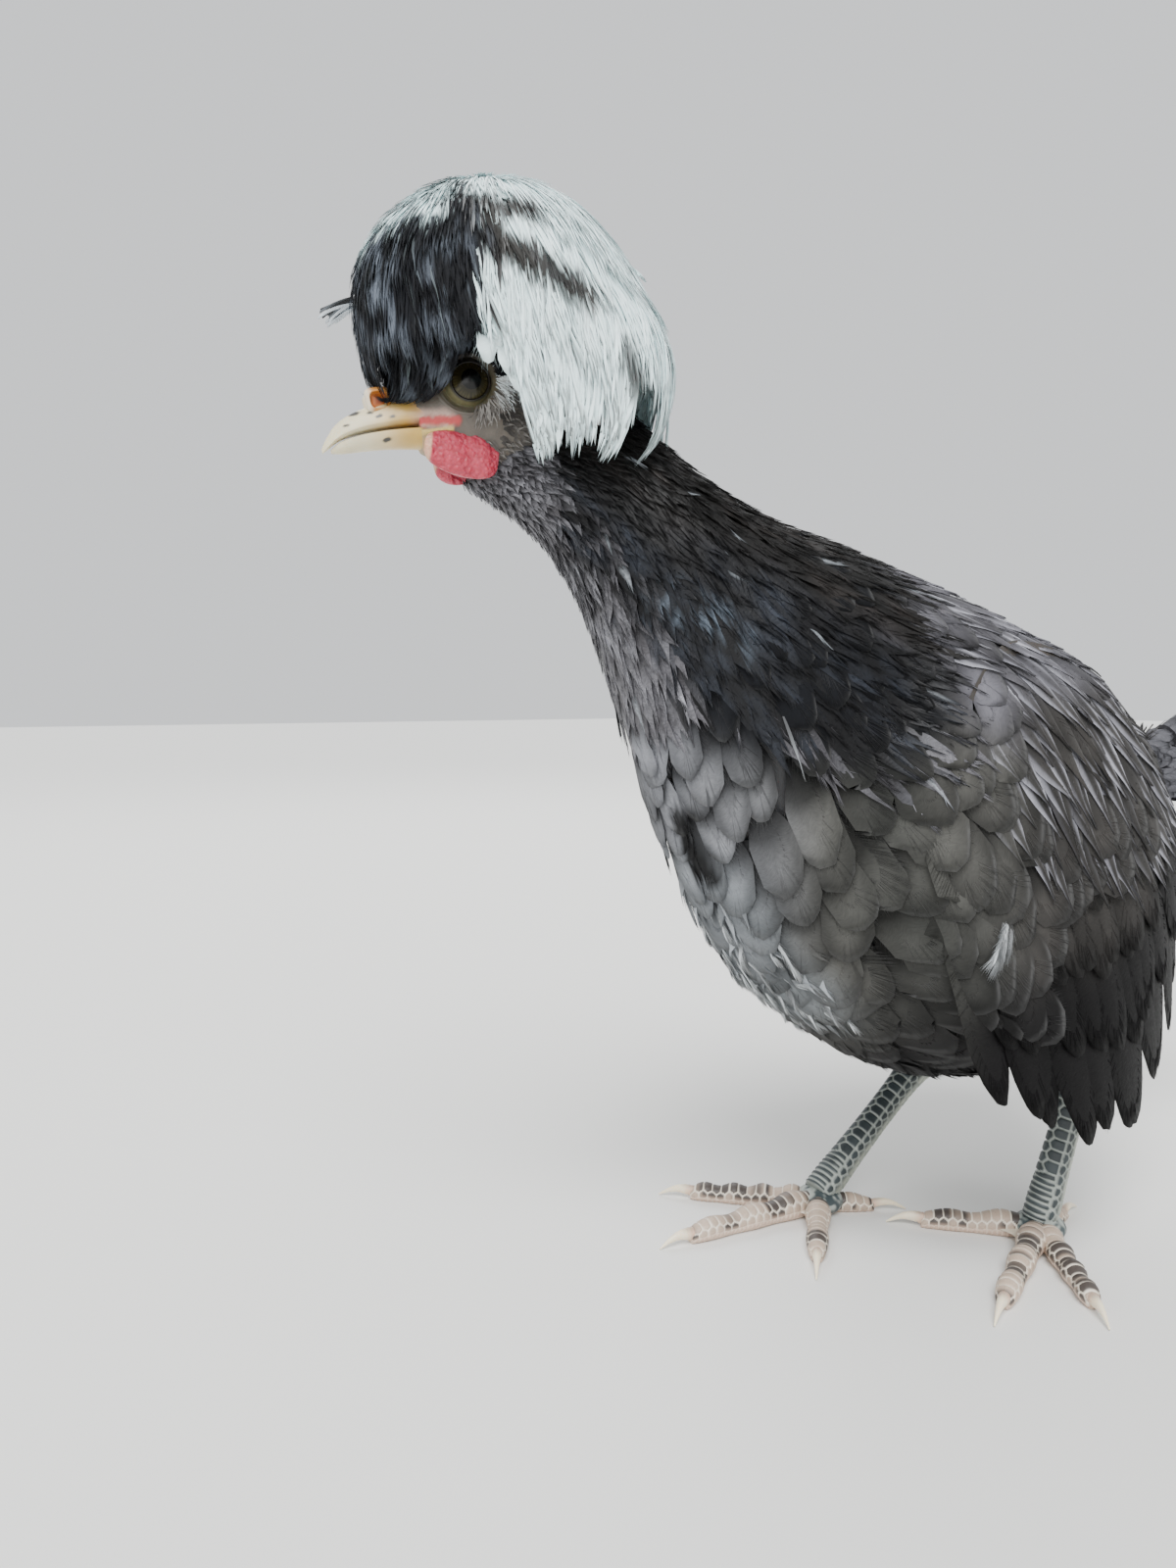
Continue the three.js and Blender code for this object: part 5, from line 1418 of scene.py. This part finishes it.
def saddle_colour(f):
    """Long dark feathers with pale grey edges, behind the neck"""
    u, v, p, rnd = f["u"], f["v"], f["p"], f["rnd"]
    x = p[..., 0]
    # darker towards the root: partly the feather's own darker base, partly painted shadow of the feather
    # that overlaps it
    ground = body_tone(p) * (mix(0.5, 1.15, smooth(v, 0.3, 0.8)) * mix(0.7, 1.3, rnd))[..., None]
    pale = blend("6a6a72", "a9a9b2", again(rnd, 3.9))
    edge = smooth(np.abs(u), 0.25, 0.9) * smooth(v, 0.1, 0.4) * (1 - 0.7 * smooth(v, 0.8, 1.0))
    edge = edge * smooth(again(rnd, 7.9), 0.1, 0.6)
    made = blend(ground, pale, 0.85 * edge * smooth(x, -56, -36))
    return made * (0.8 + 0.4 * noise(p, 5.0))[..., None]


def room_behind(roots):
    """Lengths that keep feathers from reaching far past the rump"""
    return (1.0 - roots[:, 0]) * side_bed.scale(roots[:, 0], roots[:, 1])[0] + 5


def make_body_coat():
    """Rounded overlapping feathers of breast and flanks, long ones over the back, fluff below"""
    rng = np.random.default_rng(3)
    spans = [(math.radians(180) - 1.3, math.radians(180) + 1.7), (-1.7, 1.3)]
    both = np.concatenate([
        scatter(side_bed, (0.30, 0.97), span, lambda a: 10.5, lambda a: 12, rng, 0.32) for span in spans
    ])
    spot = side_bed.at(both[:, 0], both[:, 1])
    down, along, off = wing_place(spot[:, 0], spot[:, 2])
    behind = (down > mix(0.72, 0.34, smooth(along, 0.05, 0.2))) & (off < 6)
    over_wing = (spot[:, 0] > -42) & (spot[:, 2] > 160)
    both = both[~((behind & (np.abs(spot[:, 1]) > 20)) | over_wing)]
    a = both[:, 0]
    left = np.cos(both[:, 1]) < 0
    beneath = smooth(-np.sin(both[:, 1]), 0.3, 0.9)
    tilt = np.where(left, 1, -1) * 0.3
    sizes = rng.uniform(0.88, 1.12, len(both))
    grown = smooth(a, 0.3, 0.55)
    length, half = mix(21, 31, grown) * sizes, mix(6.0, 10.0, grown) * sizes
    length = np.minimum(length, room_behind(both))
    colour = contour(edge=0.15)
    for side, name in ((True, "left"), (False, "right")):
        group = left == side
        half_coat = Shape()
        feathers(half_coat, side_bed, both[group], rng, length=length[group], half=half[group],
                 tilt=tilt[group], colour=colour, low=-2.6, high=0.3 + 1.2 * beneath[group], camber=0.7,
                 rows=8, columns=6, ragged=0.03, lift=0.5, blunt=0.5, spread=0.2, fringe=92,
                 barb=(8, 3.0, 0.15))
        piece("breast_coat_" + name, half_coat, body_finish, baked=True)
    back = Shape()
    roots = scatter(side_bed, (0.36, 0.95), (BACK - 1.55, BACK + 1.55),
                    lambda a: 7.5, lambda a: 6.0, rng)
    spot = side_bed.at(roots[:, 0], roots[:, 1])
    off_top = np.abs(roots[:, 1] - BACK)
    kept = (off_top < 1.0) | ((spot[:, 0] > -52) & (spot[:, 0] < 40) & (spot[:, 2] > 158))
    roots, off_top = roots[kept], off_top[kept]
    a = roots[:, 0]
    tilt = np.where(np.cos(roots[:, 1]) < 0, 1, -1) * mix(0.5, 1.6, smooth(off_top, 0.3, 1))
    long = np.minimum(mix(28, 50, smooth(a, 0.4, 0.7)), room_behind(roots))
    feathers(back, side_bed, roots, rng, length=long, half=mix(3.2, 4.4, a), lift=0.5, colour=saddle_colour,
             tilt=tilt * 0.5 * smooth(a, 0.4, 0.6), low=-3.0, high=0.5, camber=0.5, blunt=0.1,
             outline=pointed, rows=9, columns=6, ragged=0.02, fringe=16, barb=(5, 1.2, 0.12), spread=0.08)
    piece("back_coat", back, body_finish, baked=True)
    belly = Shape()
    roots = scatter(trunk_bed, (0.42, 0.98), (BELLY - 0.95, BELLY + 0.95),
                    lambda a: 6.2, lambda a: 5.0, rng, 0.4)
    off_middle = np.abs(roots[:, 1] - BELLY)
    roots = roots[off_middle < mix(0.45, 0.95, smooth(roots[:, 0], 0.55, 0.7))]

    def fluff(f):
        body = contour(edge=0.3, deep=0.6, tone=1.1)(f)
        pale = blend("4a4c4f", "a5aaaf", smooth(f["v"], 0.2, 0.85))
        chosen = smooth(again(f["rnd"], 7.7), 0.35, 0.75)
        front = 1 - smooth(f["p"][..., 0], -70, -45)
        return blend(body, pale, 0.85 * chosen * front)

    feathers(belly, trunk_bed, roots, rng, length=rng.uniform(13, 21, len(roots)), half=1.9, colour=fluff,
             low=-3, high=1.6, camber=0.4, rows=7, wave=1.0, spread=0.3, lift=1.0, fringe=22,
             barb=(6, 2.8, 0.12), **SLIM)
    piece("belly_coat", belly, body_finish, baked=True)


def hackle_colour(f):
    """Glossy blue black down the neck with painted sheen streaks, a patch of painted blue sheen and painted
    glints on a few quills; grey with pale streaks on its front
    """
    u, v, p, rnd = f["u"], f["v"], f["p"], f["rnd"]
    x, z = p[..., 0], p[..., 2]
    spot = p[:, p.shape[1] // 2, p.shape[2] // 2][:, None, None, :]
    over_edge = spot[..., 2] - np.interp(spot[..., 0], *HACKLE_EDGE.T) + 14 * (rnd - 0.5)
    dark = smooth(over_edge, -6, 7)
    # lighter streaks along the flow, on the black and on the brown: painted sheen
    flow = noise(xyz(0.35 * (0.75 * x - 0.66 * z), p[..., 1] * 0.6, 0.66 * x + 0.75 * z), 3.6)
    ink = blend("060608", "262a32", smooth(flow, 0.35, 0.95) * (0.25 + 0.75 * rnd))
    brown = blend("0a0908", "2b2725", smooth(flow, 0.35, 0.95) * (0.25 + 0.75 * rnd))
    ink = blend(ink, brown, smooth(z + 0.55 * x + 10 * (noise(p, 15.0) - 0.5), 152, 172))
    grey = blend("3f3d40", "818187", noise(p, 5.0) * (0.3 + 0.7 * (again(rnd, 3.3))))
    # darker towards the root: partly the feathers' own darker base, partly painted shadow of the feathers
    # over them
    grey = grey * mix(0.5, 1.2, smooth(v, 0.3, 0.8))[..., None]
    made = blend(grey, ink, dark)
    # thin pale lines down the middle of a few feathers: painted glints
    shaft_glints = (1 - smooth(np.abs(u), 0.0, 0.22)) * smooth(v, 0.2, 0.5) * (again(rnd, 9.7) < 0.018)
    shaft_glints = shaft_glints * smooth(noise(p, 9), 0.4, 0.6)
    made = blend(made, "8f959b", 0.6 * shaft_glints)
    # steel-blue patch along this line: painted sheen
    gleam = segment_distance(x, z, (-118, 206), (-104, 196))
    blue = smooth(noise(p, 3.0), 0.5, 0.75) * (1 - smooth(gleam, 2, 9))
    made = blend(made, "5b6672", 0.55 * blue * dark * smooth(v, 0.3, 0.6))
    return made * (0.8 + 0.4 * noise(p, 3.0))[..., None]


def make_neck_coat():
    """Long narrow feathers down the neck, short soft ones at the throat"""
    rng = np.random.default_rng(5)
    roots = scatter(side_bed, (0.0, 0.5), (0, FULL), lambda a: 1.5 + 6.4 * a, lambda a: 1.3 + 3.4 * a, rng,
                    0.35)
    spot = side_bed.at(roots[:, 0], roots[:, 1])
    lower = np.interp(spot[:, 0], *HACKLE_EDGE.T)
    upper = spot[:, 2] > lower + rng.uniform(2, 22, len(roots))
    upper = upper & (spot[:, 0] < rng.uniform(-72, -58, len(roots)))
    roots = roots[(roots[:, 0] < 0.3) | upper]
    for left, name in ((True, "left"), (False, "right")):
        group = roots[(np.cos(roots[:, 1]) < 0) == left]
        a, b = group[:, 0], group[:, 1]
        shape = Shape()
        under = smooth(-np.sin(b), 0.1, 0.6)
        length = mix(6, 32, smooth(a, 0.0, 0.36)) * mix(1, 0.62, under) * rng.uniform(0.8, 1.15, len(group))
        half = mix(0.6, 1.9, smooth(a, 0.0, 0.36)) * mix(1, 1.2, under)
        feathers(shape, side_bed, group, rng, length=length, half=half, colour=hackle_colour, low=-2.0,
                 high=0.4, camber=0.3, blunt=0.1, rows=6, wave=0.6, lift=0.5, spread=0.15, fringe=9,
                 barb=(4.5, 1.7, 0.12), **SLIM)
        piece("neck_coat_" + name, shape, hackle_finish, baked=True)


# Rows of wing feathers: down from and to, count, half width, height
WING_TIERS = [
    (0.25, 1.0, 12, 11.0, 0.0),
    (0.2, 0.8, 13, 9.4, 0.7),
    (0.14, 0.62, 14, 8.2, 1.6),
    (0.09, 0.48, 15, 7.4, 2.5),
    (0.04, 0.36, 15, 7.2, 3.4),
]


def make_wing(side):
    rng = np.random.default_rng(20 + side)
    shape = Shape()
    bed = wing_beds[side]
    flight = contour(edge=0.25, deep=0.7, tone=0.9)
    cover = contour(edge=0.5, deep=0.35)
    for k, (start, end, count, half, lift) in enumerate(WING_TIERS):
        colour = flight if k < 2 else cover
        along = (np.arange(count) + 0.35 + 0.3 * (k % 2) + rng.uniform(-0.2, 0.2, count)) / count
        roots = np.stack([np.full(count, start) + rng.uniform(-0.02, 0.02, count), along], -1)
        spot = bed.at(roots[:, 0], along)
        tips = bed.at(np.full(count, end), along)
        length = np.linalg.norm(tips - spot, axis=-1) * (1.0 + rng.uniform(-0.06, 0.03, count))
        feathers(shape, bed, roots, rng, length=length, half=half, colour=colour, low=lift - 2.0,
                 high=lift + 0.4, power=0.6, camber=1.0, blunt=0.36, rows=16, columns=10, spread=0.045,
                 ragged=0.008, lift=0.3, fringe=90, barb=(8, 1.5, 0.16))
    name = SIDE_NAMES[side]
    piece("wing_coat_" + name, shape, flight_finish, (f"wing_{name}",), baked=True)


def make_thigh_coat(side):
    rng = np.random.default_rng(30 + side)
    shape = Shape()
    roots = scatter(thigh_beds[side], (0.0, 0.93), (0, FULL), lambda a: 3.6, lambda a: 3.4, rng)
    fluff = contour(edge=0.5, deep=0.6, streak=0.1, base=rgb("504f4d"))
    feathers(shape, thigh_beds[side], roots, rng, length=13, half=2.0, colour=fluff, low=-2.5, high=0.6,
             camber=0.4, rows=7, wave=0.8, spread=0.3, lift=0.8, **HAIR)
    piece("thigh_coat_" + SIDE_NAMES[side], shape, body_finish, baked=True)


# Rows of tail feathers: count, length, root, half width, height
TAIL_TIERS = [(14, 106, -0.02, 8.6, 0.0), (12, 62, -0.04, 6.6, 1.8), (14, 40, -0.05, 5.4, 2.6)]


def make_tail():
    rng = np.random.default_rng(50)
    shape = Shape()
    dark = contour(edge=0.25, deep=0.8, base=rgb("19181b"))
    for count, long, start, half, lift in TAIL_TIERS:
        across = np.linspace(-0.93, 0.93, count)
        roots = np.stack([np.full(count, start), across], -1)
        feathers(shape, tail_bed, roots, rng, length=long - 14 * np.abs(across), half=half, colour=dark,
                 low=lift - 3, high=lift + 0.2, power=0.5, camber=0.8, blunt=0.14, rows=14, columns=6,
                 spread=0.02)
    roots = scatter(tail_bed, (-0.24, 0.22), (-1.0, 1.0), lambda a: 4.0, lambda a: 3.4, rng, 0.4)
    fluff = contour(edge=0.4, deep=0.6, base=rgb("4a4a4e"))
    feathers(shape, tail_bed, roots, rng, length=rng.uniform(20, 30, len(roots)), half=3.2, colour=fluff,
             low=0, high=3.2, camber=0.6, outline=rounded, rows=8, columns=4, keel=False, wave=0.6,
             spread=0.2, lift=0.8, fringe=24, barb=(6, 2.2, 0.12))
    piece("tail_coat", shape, flight_finish, ("tail",), baked=True)


def crest_white(p):
    """1 in the white rear of the crest, 0 in its dark front"""
    ahead, _, up = to_head(p)
    edge = np.interp(up, [-25, -8, -2, 5.7, 13, 20, 27, 32, 40],
                     [-6, -5, -6.5, -4.5, -2.8, -8.8, -13, -9, -8])
    return smooth(edge + 7 * (noise(p, 4.5) - 0.5) - ahead, -1.5, 1.5)


def crest_top(p):
    """1 on the pale feathers over the top of the dark front"""
    ahead, _, up = to_head(p)
    level = up + 0.1 * ahead + 5 * (noise(p, 4.0) - 0.5)
    return smooth(level, 35.5, 39) * smooth(noise(p, 2.2), 0.28, 0.5)


def crest_marks(p):
    """1 in the dark brush, band and patch that lie on the white, strongest on the left"""
    ahead, out, up = to_head(p)
    near = smooth(-out, 2, 8)
    share = np.clip((-9 - ahead) / 22, 0, 1)
    brush = near * (1 - smooth(segment_distance(ahead, up, (-9, 27), (-30, 11)) + 2.0 * share, 3.8, 5.8))
    band = 1 - smooth(segment_distance(ahead, up, (-3, 38.5), (-20, 34)), 2.2, 3.8)
    patch = 0.85 * near * (1 - smooth(segment_distance(ahead, up, (-37.3, -2), (-38, -12)), 1.8, 3.4))
    return np.maximum(np.maximum(brush, band), patch)


def crest_colour(f):
    v, p, rnd = f["v"], f["p"], f["rnd"]
    middle = p[:, p.shape[1] * 2 // 3, p.shape[2] // 2][:, None, None, :]
    white = smooth(crest_white(middle) + 0.8 * (rnd - 0.5), 0.35, 0.65)
    jumble = (rnd - 0.5)[..., None] * 3 * ahead_axis + (again(rnd, 13.7) - 0.5)[..., None] * 3 * up_axis
    white = np.maximum(white, crest_top(p + jumble)) * (1 - crest_marks(p + jumble))
    ahead, out, up = to_head(p)
    across = np.arctan2(out, ahead - CREST_AT[0]) * CREST_GIRTH
    streak = noise(xyz(across, 0, up * 0.5), 2.8)
    dark = blend("0b0c0f", "1f2126", noise(p, 6.0) * mix(0.3, 1, rnd))
    front = smooth(ahead, 6, 22) * smooth(up, 2, 16)
    sheen = smooth(streak + 0.25 * (rnd - 0.5), mix(0.52, 0.35, front), 0.85)
    dark = blend(dark, "5c636d", sheen * mix(0.5, 1.2, front))
    soft = smooth(-ahead, 4, 12)
    dark = blend(dark, "2c2b28", 0.8 * soft)
    light = blend("d6eef0", "ecfeff", noise(p, 2.0))
    # white strands a little darker towards the root: painted shade under the strands that cover them
    light = light * mix(0.8, 1, smooth(v, 0, 0.3))[..., None]
    return blend(dark, light, white)


# Pointed locks and gaps along the lower edge of the white crest: degrees from the bill, change of fall
LOCK_ENDS = np.array([
    [0, 0],
    [62, 0],
    [80, 0.26],
    [98, -0.08],
    [117, 0.27],
    [139, -0.16],
    [158, 0.2],
    [170, 0.0],
    [180, 0.1],
])


def crest_tip_fall(turn):
    degrees = np.abs(((np.degrees(turn) + 540) % 360) - 180)
    return np.radians(through(CREST_FALL, degrees / 180)) + np.interp(degrees, *LOCK_ENDS.T)


def crest_roots(rng, count, lowest, span, extra=0.0):
    """Roots and lengths of crest feathers whose tips are spread evenly over the crest"""
    turn = rng.uniform(0, FULL, count)
    share = np.sqrt(rng.uniform(lowest**2, 1, count))
    tip = crest_tip_fall(turn) * share + extra
    roots = np.stack([np.maximum(tip - span, 0.12 * tip), turn], -1)
    return roots, tip


def eye_bed(side):
    """Ground round an eye: a outward from its middle in millimetres, b round it from ahead over the top"""

    def at(a, b, h=0.0):
        ahead, up = a * np.cos(b), a * np.sin(b)
        return in_head(ahead, side * (head_half(ahead, up) + 0.3 + h), up)

    def unwrap(a, b):
        ahead, up = a * np.cos(b), a * np.sin(b)
        t = np.interp(ahead, HEAD_PROFILE[:, 0], np.linspace(0, 1, len(HEAD_PROFILE)))
        turn = np.arctan2(up, side * head_half(ahead, up))
        return head_bed.unwrap(1 - t, turn)

    bed = Bed(at, ((5, 14), (0, FULL)), (0, 0, 1, 1))
    bed.unwrap = unwrap
    return bed


EYE_CLEAR = (5.9, 5.0)  # half long and half high


def clear_of_eyes(bed, roots, length):
    """Lengths cut short where feathers would run over the eye openings, 0 where little would be left"""
    rate = bed.scale(roots[:, 0], roots[:, 1])[0]
    cut = np.ones(len(roots))
    for share in np.linspace(1, 0.1, 19):
        ahead, out, up = to_head(bed.at(roots[:, 0] + length * share / rate, roots[:, 1]))
        over = (np.hypot((ahead + 0.2) / EYE_CLEAR[0], (up + 0.2) / EYE_CLEAR[1]) < 1) & (np.abs(out) > 6)
        cut = np.where(over, share - 0.05, cut)
    return np.where(cut < 0.25, 0, length * cut)


CREST_GIRTH = 34
# Locks of the crest: locks, strands in each, fall they span, half width, how far the tips draw together
LOCKS = {True: (270, 26, 0.8, 0.34, 4.4), False: (620, 14, 0.46, 0.4, 1.2)}


def make_crest():
    rng = np.random.default_rng(8)
    pieces = {"white_left": Shape(), "white_right": Shape(), "under": Shape(), "dark": Shape()}

    # Broad soft feathers beneath
    roots, tip = crest_roots(rng, 900, 0.06, 0.62)
    dark = crest_white(crest_bed.at(mix(roots[:, 0], tip, 0.6), roots[:, 1], -1.0)) < 0.5
    kept = tip < np.where(dark, 0.86, 0.88) * crest_tip_fall(roots[:, 1])
    roots, tip, dark = roots[kept], tip[kept], dark[kept]
    for name, group in (("under", ~dark), ("dark", dark)):
        feathers(pieces[name], crest_bed, roots[group], rng, length=(tip - roots[:, 0])[group] * 38,
                 half=2.6, low=-5, high=-0.8, power=0.45, camber=0.5, rows=6, columns=4, ragged=0.02,
                 blunt=0.35, fringe=20, barb=(7, 3.0, 0.15), colour=crest_colour)
    # Locks of fine strands whose tips draw together
    for light, (locks, strands, span, half, gather) in LOCKS.items():
        lock_roots, lock_tip = crest_roots(rng, locks, 0.06, span, 0.05)
        past = rng.uniform(-0.04, 0.12, locks) if light else rng.uniform(-0.05, 0.06, locks)
        lock_tip = lock_tip + np.where(lock_tip > crest_tip_fall(lock_roots[:, 1]) * 0.88, past, 0.0)
        aside = rng.uniform(-1, 1, (locks, strands))
        along_off = rng.uniform(-0.12, 0.12, (locks, strands))
        girth = CREST_GIRTH * np.sin(np.clip(lock_roots[:, :1] + 0.35, 0.3, 2))
        roots = np.stack([
            (lock_roots[:, :1] + along_off).ravel().clip(0.03, None),
            (lock_roots[:, 1:] + aside * (5.6 if light else 3.4) / girth).ravel(),
        ], -1)
        tip = np.repeat(lock_tip, strands)
        aside = aside.ravel()
        long = (tip - roots[:, 0]) * 40 * (1 - 0.14 * aside**2) * rng.uniform(0.86, 1.05, len(roots))
        white = crest_white(crest_bed.at(mix(roots[:, 0], tip, 0.6), roots[:, 1], -1.0)) > 0.4
        long = clear_of_eyes(crest_bed, roots, long)
        wanted = (white == light) & (long > 0)
        left = np.sin(roots[:, 1]) < 0
        groups = {"white_left": left & wanted, "white_right": ~left & wanted} if light else {"dark": wanted}
        for name, group in groups.items():
            feathers(pieces[name], crest_bed, roots[group], rng, length=long[group], half=half,
                     colour=crest_colour, low=-1.8, high=0.3, power=0.6, camber=0.2, rows=7 if light else 5,
                     wave=0.6, spread=0.04, lift=0.5 if light else 0.9, sway=-aside[group] * gather, **HAIR)

    # Odd feathers that stand away from the crest: a short tuft in front, a dark tip and two quills behind
    def tuft_colour(f):
        shade = smooth((f["a"] - 1.228) * 40 + 0.5 * (f["rnd"] - 0.5), -0.3, 0.3)
        return blend("17171b", "dde6ee", shade)

    roots = np.stack([1.24 + rng.normal(0, 0.02, 26), 0.27 + rng.normal(0, 0.035, 26)], -1)
    feathers(pieces["white_left"], crest_bed, roots, rng, length=rng.uniform(4.5, 6.0, 26), half=0.75,
             colour=tuft_colour, low=-1.5, high=rng.uniform(6.5, 10, 26), power=0.9, camber=0.1, rows=8,
             wave=0.5, spread=0.12, lift=0.3, **HAIR)
    feathers(pieces["dark"], crest_bed, np.array([[1.02, 3.2]]), rng, length=15, half=1.3,
             colour=crest_colour, low=-1.5, high=4, power=1.3, camber=0.3, outline=pointed, rows=9,
             columns=4, spread=0.0, fringe=16, barb=(3, 1.0, 0.2))
    for turn in (3.05, 3.2):
        feathers(pieces["dark"], crest_bed, np.array([[2.0, turn]]), rng, length=26, half=0.5,
                 colour=crest_colour, low=-2, high=6, power=1.2, camber=0.1, rows=12, spread=0.05, **HAIR)
    for name, shape in pieces.items():
        finish = dark_finish if name == "dark" else white_finish
        piece("crest_" + name, shape, finish, ("crest",), baked=True)
    # Dark front drawn in to the brow and the bill
    brow = Shape()
    roots = scatter(brow_bed, (0.05, 0.99), (-0.97, 0.97), lambda a: 1.9, lambda a: 1.7, rng, 0.4)
    left_over = np.maximum((1.0 - roots[:, 0]) * brow_bed.scale(roots[:, 0], roots[:, 1])[0], 1.6)
    long = clear_of_eyes(brow_bed, roots, np.minimum(rng.uniform(7, 11, len(roots)), left_over))
    wanted = long > 0
    feathers(brow, brow_bed, roots[wanted], rng, length=long[wanted], half=0.75, colour=crest_colour,
             low=-2.0, high=0.2, power=0.6, camber=0.25, rows=5, ragged=0.03, blunt=0.3, lift=0.5,
             spread=0.16, wave=0.3, fringe=6, barb=(3, 1.0, 0.1), **SLIM)

    def lid_colour(f):
        return blend("0e0f12", "2a2b30", f["rnd"] * noise(f["p"], 1.5))

    for side in (LEFT, RIGHT):
        bed = eye_bed(side)
        count = 380
        roots = np.stack([rng.uniform(8.0, 12.5, count), np.radians(rng.uniform(38, 182, count))], -1)
        feathers(brow, bed, roots, rng, length=roots[:, 0] - rng.uniform(5.6, 6.6, count), half=0.55,
                 tilt=math.pi, colour=lid_colour, low=-0.4, high=0.9, camber=0.15, rows=5, spread=0.2,
                 wave=0.3, lift=0.3, fringe=4, barb=(2, 0.8, 0.07), **HAIR)
    piece("brow_coat", brow, dark_finish, ("crest",), baked=True)


def face_feather_colour(f):
    grey = blend("302e2d", "5d5955", noise(f["p"], 3.0))
    pale = (again(f["rnd"], 6.3) < 0.3) * 0.6
    return blend(grey, "8d8a86", pale * smooth(f["v"], 0.3, 0.9))


def lash_colour(f):
    """Fine hairs behind the eye, white towards the crest and grey towards the cheek"""
    grey = blend("55504c", "94908b", again(f["rnd"], 5.1))
    white = smooth(3.7 - f["b"] + 0.8 * (f["rnd"] - 0.5), -0.3, 0.5)
    return blend(grey, "dde4e6", white)


def make_face_coat():
    """Fine bristly feathers on cheeks and throat, thinning out to bare skin before the eye"""
    rng = np.random.default_rng(9)
    shape = Shape()
    roots = scatter(head_bed, (0.12, 0.98), (0, FULL), lambda a: 1.3, lambda a: 1.0, rng, 0.35)
    ahead, _, up = to_head(head_bed.at(roots[:, 0], roots[:, 1]))
    bare = (np.hypot(ahead - 0.8, up / 0.92) < 7.2) | ((ahead > 1) & (up > -13) & (up < 3))
    bare |= segment_distance(ahead, up, (14, -9), (-2, -12)) < 3.2
    roots = roots[~bare]
    length = mix(2.6, 5.2, smooth(-ahead[~bare], -5, 15))
    left = np.cos(roots[:, 1]) < 0
    feathers(shape, head_bed, roots, rng, length=length, half=0.4, colour=face_feather_colour, low=-0.8,
             high=0.5, tilt=np.where(left, 1, -1) * 0.5, camber=0.15, rows=5, spread=0.25, wave=0.3,
             lift=0.3, thick=0.08, **HAIR)
    for side in (LEFT, RIGHT):
        count = 170
        turn = np.radians(rng.uniform(150, 268, count))
        roots = np.stack([rng.uniform(6.2, 9.5, count), turn], -1)
        feathers(shape, eye_bed(side), roots, rng, length=rng.uniform(3.0, 5.5, count), half=0.17,
                 tilt=0.35, colour=lash_colour, low=-0.3, high=0.8, camber=0.1, rows=5, spread=0.2,
                 wave=0.4, lift=0.4, **HAIR)
    piece("face_coat", shape, body_finish, baked=True)


# Surroundings: floor, light and camera
CAMERA_AT = np.array([-291.3, -271.9, 183.1])
CAMERA_WAY = np.array([0.4983, 0.8631, -0.0819])
FOCAL = 1170 / 1600 * 36


def aimed(way):
    """Rotation of a camera or light that looks this way"""
    return Vector(way).to_track_quat("-Z", "Y").to_euler()


def make_camera():
    data = bpy.data.cameras.new("photo camera")
    data.sensor_fit = "VERTICAL"
    data.sensor_height = 36
    data.lens = FOCAL
    data.clip_start = 0.01
    camera = placed("photo camera", data)
    camera.location = Vector((CAMERA_AT + SHIFT) / 1000)
    camera.rotation_euler = aimed(CAMERA_WAY)
    bpy.context.scene.camera = camera


def make_floor():
    mesh = bpy.data.meshes.new("floor")
    reach = 6.0
    corners = [(-reach, -reach, 0), (reach, -reach, 0), (reach, reach, 0), (-reach, reach, 0)]
    mesh.from_pydata(corners, [], [range(4)])
    floor = placed("floor", mesh)
    finish, _, shader = finish_of("floor")
    shader.inputs["Base Color"].default_value = (0.72, 0.72, 0.7, 1)
    shader.inputs["Roughness"].default_value = 0.8
    mesh.materials.append(finish)


def make_lights():
    world = bpy.data.worlds.new("studio")
    world.use_nodes = True
    sky = world.node_tree.nodes["Background"].inputs
    sky["Color"].default_value = (0.96, 0.98, 1.0, 1)
    sky["Strength"].default_value = 1.0
    bpy.context.scene.world = world
    sun = bpy.data.lights.new("key", "SUN")
    sun.energy = 4.4
    sun.angle = math.radians(35)
    placed("key", sun).rotation_euler = aimed((0.42, 0.62, -1.0))
    for name, at, size, power in (("fill", (-1.2, -1.0, 0.5), 1.2, 8), ("rim", (0.5, 1.2, 1.4), 1.0, 14)):
        data = bpy.data.lights.new(name, "AREA")
        data.size = size
        data.energy = power
        light = placed(name, data)
        light.location = at
        light.rotation_euler = aimed(Vector((0, 0, 0.15)) - Vector(at))


make_camera()
make_floor()
make_lights()
make_skin()
make_bills()
for side in (LEFT, RIGHT):
    make_eye(side)
    make_wattle(side)
    make_leg(side)
    make_claws(side)
    make_wing(side)
    make_thigh_coat(side)
make_body_coat()
make_down()
make_neck_coat()
make_tail()
make_crest()
make_face_coat()

bpy.context.view_layer.update()
